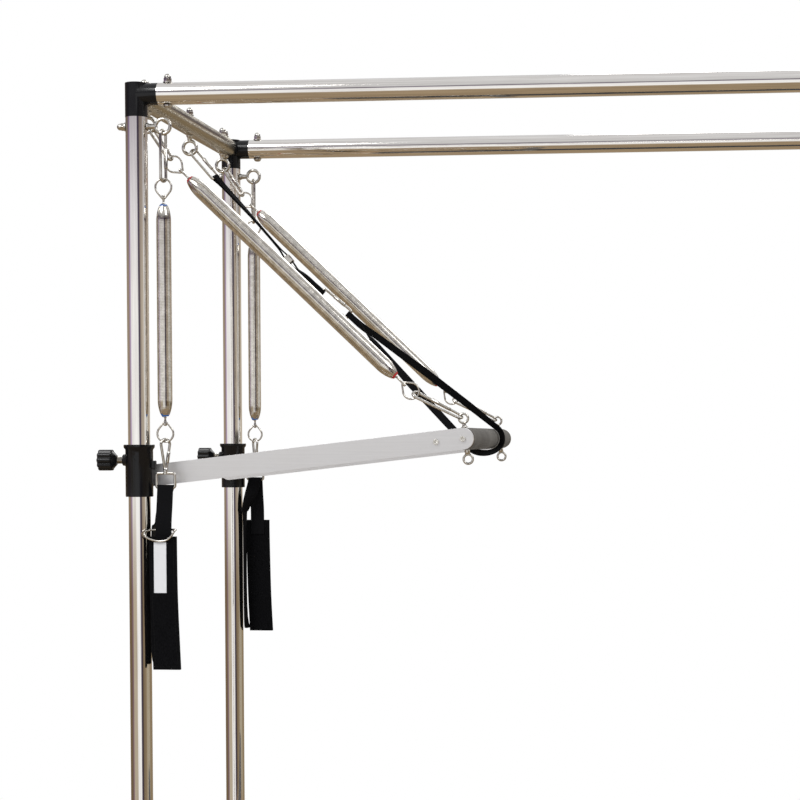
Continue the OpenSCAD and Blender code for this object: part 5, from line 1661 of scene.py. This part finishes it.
# %% The whole loop
def even_out(points, sides, longest):
    """Adds points on long straight stretches, so that the strap turns little by little."""
    spots, leans = [], []
    for i in range(len(points) - 1):
        steps = max(1, int((points[i + 1] - points[i]).length / longest))
        for s in range(steps):
            lean = sides[i].lerp(sides[i + 1], s / steps)
            width = sides[i].length + (sides[i + 1].length - sides[i].length) * s / steps
            spots.append(points[i].lerp(points[i + 1], s / steps))
            leans.append(lean.normalized() * width)
    return spots + [points[-1]], leans + [sides[-1]]


loop_points, loop_sides = even_out(loop_points, loop_sides, LONGEST_STEP)
loop = finish(strap("strap-loop", loop_points, loop_sides, LOOP_W, STRAP_T, 2), webbing)
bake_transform(loop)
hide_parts("strap_loop")

# %% [markdown]
# ## Bed
#
# The bed is a maple frame with slats. Its boards are plain boards, so they keep their CAD shape with
# eased edges, and their grain runs along each board. The frame stands on round feet: a turned flange
# and socket in black, and a rubber pad under each.

# %% Boards, brackets and feet
for side in ("front", "back"):
    fine_copy(side + "_side_beam", maple_along, 0.004, 3)
fine_copy("bed_end_beams", maple_across, 0.004, 3)
fine_copy("bed_slats", maple_across, 0.003, 3)
fine_copy("post_brackets", black_plastic, 0.0008)

FOOT_R, FOOT_T, SOCKET_R, SOCKET_H = 0.060, 0.008, TUBE_R + 0.005, 0.050
PAD_R, PAD_T = FOOT_R - 0.003, 0.005
foot = turned("foot", [(0, 0), (FOOT_R - 0.001, 0), (FOOT_R, 0.001), (FOOT_R, FOOT_T - 0.002),
                       (FOOT_R - 0.002, FOOT_T), (SOCKET_R + 0.006, FOOT_T),
                       (SOCKET_R + 0.002, FOOT_T + 0.002), (SOCKET_R, FOOT_T + 0.006),
                       (SOCKET_R, FOOT_T + SOCKET_H - 0.001),
                       (SOCKET_R - 0.001, FOOT_T + SOCKET_H),
                       (TUBE_R + 0.0001, FOOT_T + SOCKET_H), (TUBE_R + 0.0001, FOOT_T),
                       (0, FOOT_T)], steps=64)
pad = turned("pad", [(0, 0), (PAD_R - 0.0015, 0), (PAD_R, 0.0015), (PAD_R, PAD_T), (0, PAD_T)],
             steps=64)
foot_places, pad_places = ([Matrix.Translation(corner(a, b, 0, 0, z)) for a in BOTH for b in BOTH]
                           for z in (PAD_T, 0))
dress(copies("upright-feet", foot, foot_places), black_plastic, "upright_feet")
dress(copies("foot-pads", pad, pad_places), rubber, "foot_pads")

# %% [markdown]
# ## Mattress
#
# The mattress is foam in a black vinyl cover with piping along its upper and lower seams. A box with
# rounded corners gets a fine even skin from Remesh, and a short cloth simulation with pressure blows
# it up a little, with no point allowed far. Then its crown is pressed flat in the middle and falls
# towards the sides. The piping is a wire that is laid on the surface.

# %% Blowing up and rounding
PRESSURE, LAST_FRAME = 4.0, 20


def blown_up(obj, pressure, cap, floor):
    """Cloth with pressure; no point moves further than the cap, or below the floor."""
    rest = [v.co.copy() for v in obj.data.vertices]
    cloth = obj.modifiers.new("blow up", "CLOTH")
    cloth.settings.use_pressure = True
    cloth.settings.uniform_pressure_force = pressure
    cloth.settings.effector_weights.gravity = 0
    for number in range(1, LAST_FRAME + 1):
        scene.frame_set(number)
    blown = obj.evaluated_get(bpy.context.evaluated_depsgraph_get())
    moved = [v.co.copy() for v in blown.data.vertices]
    obj.modifiers.remove(cloth)
    scene.frame_set(1)
    for v, start, end in zip(obj.data.vertices, rest, moved):
        step = end - start
        if step.length > cap:
            step *= cap / step.length
        v.co = start + step
        v.co.z = max(v.co.z, floor)
    return obj


def round_upright_edges(obj, radius, segments):
    """Bevels a block's upright edges only."""
    edit(obj, lambda: bpy.ops.mesh.select_all(action="DESELECT"),
         lambda: bpy.ops.mesh.select_mode(type="EDGE"))
    for edge in obj.data.edges:
        first, second = (obj.data.vertices[i].co for i in edge.vertices)
        edge.select = abs(first.z - second.z) > MERGE
    bpy.ops.object.mode_set(mode="EDIT")
    bpy.ops.mesh.bevel(offset=radius, segments=segments, affect="EDGES", profile=0.5)
    bpy.ops.mesh.select_mode(type="VERT")
    bpy.ops.object.mode_set(mode="OBJECT")
    return obj


# %% Piping
MATTRESS_CORNER, PIPING, PIPING_STEP = 0.035, 0.0050, 0.03


def piping(surface, low, high, z):
    """A cord round the mattress at one height, laid on its surface."""
    line = []
    outline = round_rectangle(high.x - low.x, high.y - low.y, MATTRESS_CORNER)
    for i, (x, y) in enumerate(outline):
        after = outline[(i + 1) % len(outline)]
        gap = math.hypot(after[0] - x, after[1] - y)
        steps = max(1, int(gap / PIPING_STEP))
        line += [Vector((x + (after[0] - x) * s / steps, y + (after[1] - y) * s / steps, z))
                 for s in range(steps)]
    return wire("piping", [surface.find_nearest(p)[0] for p in line], PIPING, sides=2)


# %% The mattress
MATTRESS_INSET, MATTRESS_EDGE = Vector((0.005, 0.005, 0.003)), 0.010
MATTRESS_VOXEL, MATTRESS_CAP = 0.012, 0.006
CROWN_UP, CROWN_FALL, CROWN_RIM, PIPING_IN = 0.002, 0.003, 0.02, 0.007


def mattress():
    """The padded cover with its crown, sides and piping."""
    low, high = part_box("mattress_cover")
    pad = box("mattress", low + MATTRESS_INSET, high - MATTRESS_INSET)
    round_upright_edges(pad, MATTRESS_CORNER, 6)
    ease(pad, MATTRESS_EDGE, 3)
    skin = pad.modifiers.new("skin", "REMESH")
    skin.mode = "VOXEL"
    skin.voxel_size = MATTRESS_VOXEL
    bake_modifiers(pad)
    blown_up(pad, PRESSURE, MATTRESS_CAP, low.z)
    finer = pad.modifiers.new("finer", "SUBSURF")
    finer.levels = finer.render_levels = 1
    bake_modifiers(pad)
    for v in pad.data.vertices:
        if v.co.z > high.z - CROWN_RIM:
            across = min(1.0, abs(v.co.y) / (high.y - CROWN_RIM))
            v.co.z = min(v.co.z, high.z + CROWN_UP) - CROWN_FALL * across ** 4
        v.co.z = max(v.co.z, low.z)
    smooth(pad, 70)
    surface = BVHTree.FromPolygons([v.co for v in pad.data.vertices],
                                   [p.vertices for p in pad.data.polygons])
    cords = [piping(surface, low, high, z) for z in (high.z - PIPING_IN, low.z + PIPING_IN)]
    whole = joined("mattress", [pad] + cords)
    dress(whole, vinyl, ("mattress_cover", "mattress_foam"))
    return whole


mattress()

# %% [markdown]
# ## Pieces that stay as the model has them
#
# The bar's tube lies inside its grip and the liners show only as thin rims, so their CAD shapes
# stay and only get their finish.

# %% Finishes for the carried nodes
for name, material in (("bar_tube", polished["X"]), ("sleeve_liners", liner_plastic)):
    finish(nodes[name], material)
    print(name, "keeps its CAD shape")

# %% [markdown]
# ## Floor
#
# A plain round floor, pale in the middle and fading to the white of the world at its rim, so that
# no edge shows from any side. The metal sees wood in its place, as it does in the drawn room.

# %% Floor
FLOOR_R, FLOOR_Z, FADE_FROM, FADE_TO = 3.6, -0.0005, 1.7, 3.5


def pale_floor():
    """Pale and matt, white at the rim, and wood to reflected rays."""
    pale = finish_of("pale floor", (0.80, 0.80, 0.79), 0.9)
    tree = pale.node_tree
    where = tree.nodes.new("ShaderNodeTexCoord")
    away = put(tree, "ShaderNodeVectorMath", operation="LENGTH")
    tree.links.new(where.outputs["Object"], away.inputs[0])
    edge = put(tree, "ShaderNodeMapRange", interpolation_type="SMOOTHSTEP", From_Min=FADE_FROM,
               From_Max=FADE_TO)
    tree.links.new(away.outputs["Value"], edge.inputs["Value"])
    glow = put(tree, "ShaderNodeEmission", Color=WHITE, Strength=1.0)
    wood = put(tree, "ShaderNodeEmission", Color=(*WOOD, 1), Strength=1.0)
    fade = either(tree, edge.outputs["Result"], tree.nodes["Principled BSDF"].outputs[0],
                  glow.outputs[0])
    ray = tree.nodes.new("ShaderNodeLightPath")
    shown = either(tree, ray.outputs["Is Glossy Ray"], fade, wood.outputs[0])
    tree.links.new(shown, tree.nodes["Material Output"].inputs["Surface"])
    return pale


bpy.ops.object.select_all(action="DESELECT")
bpy.ops.mesh.primitive_circle_add(vertices=96, radius=FLOOR_R, fill_type="NGON",
                                  location=(0, 0, FLOOR_Z))
floor = finish(settle(bpy.context.active_object), pale_floor())
floor.name = "floor"
print("floor radius", FLOOR_R)
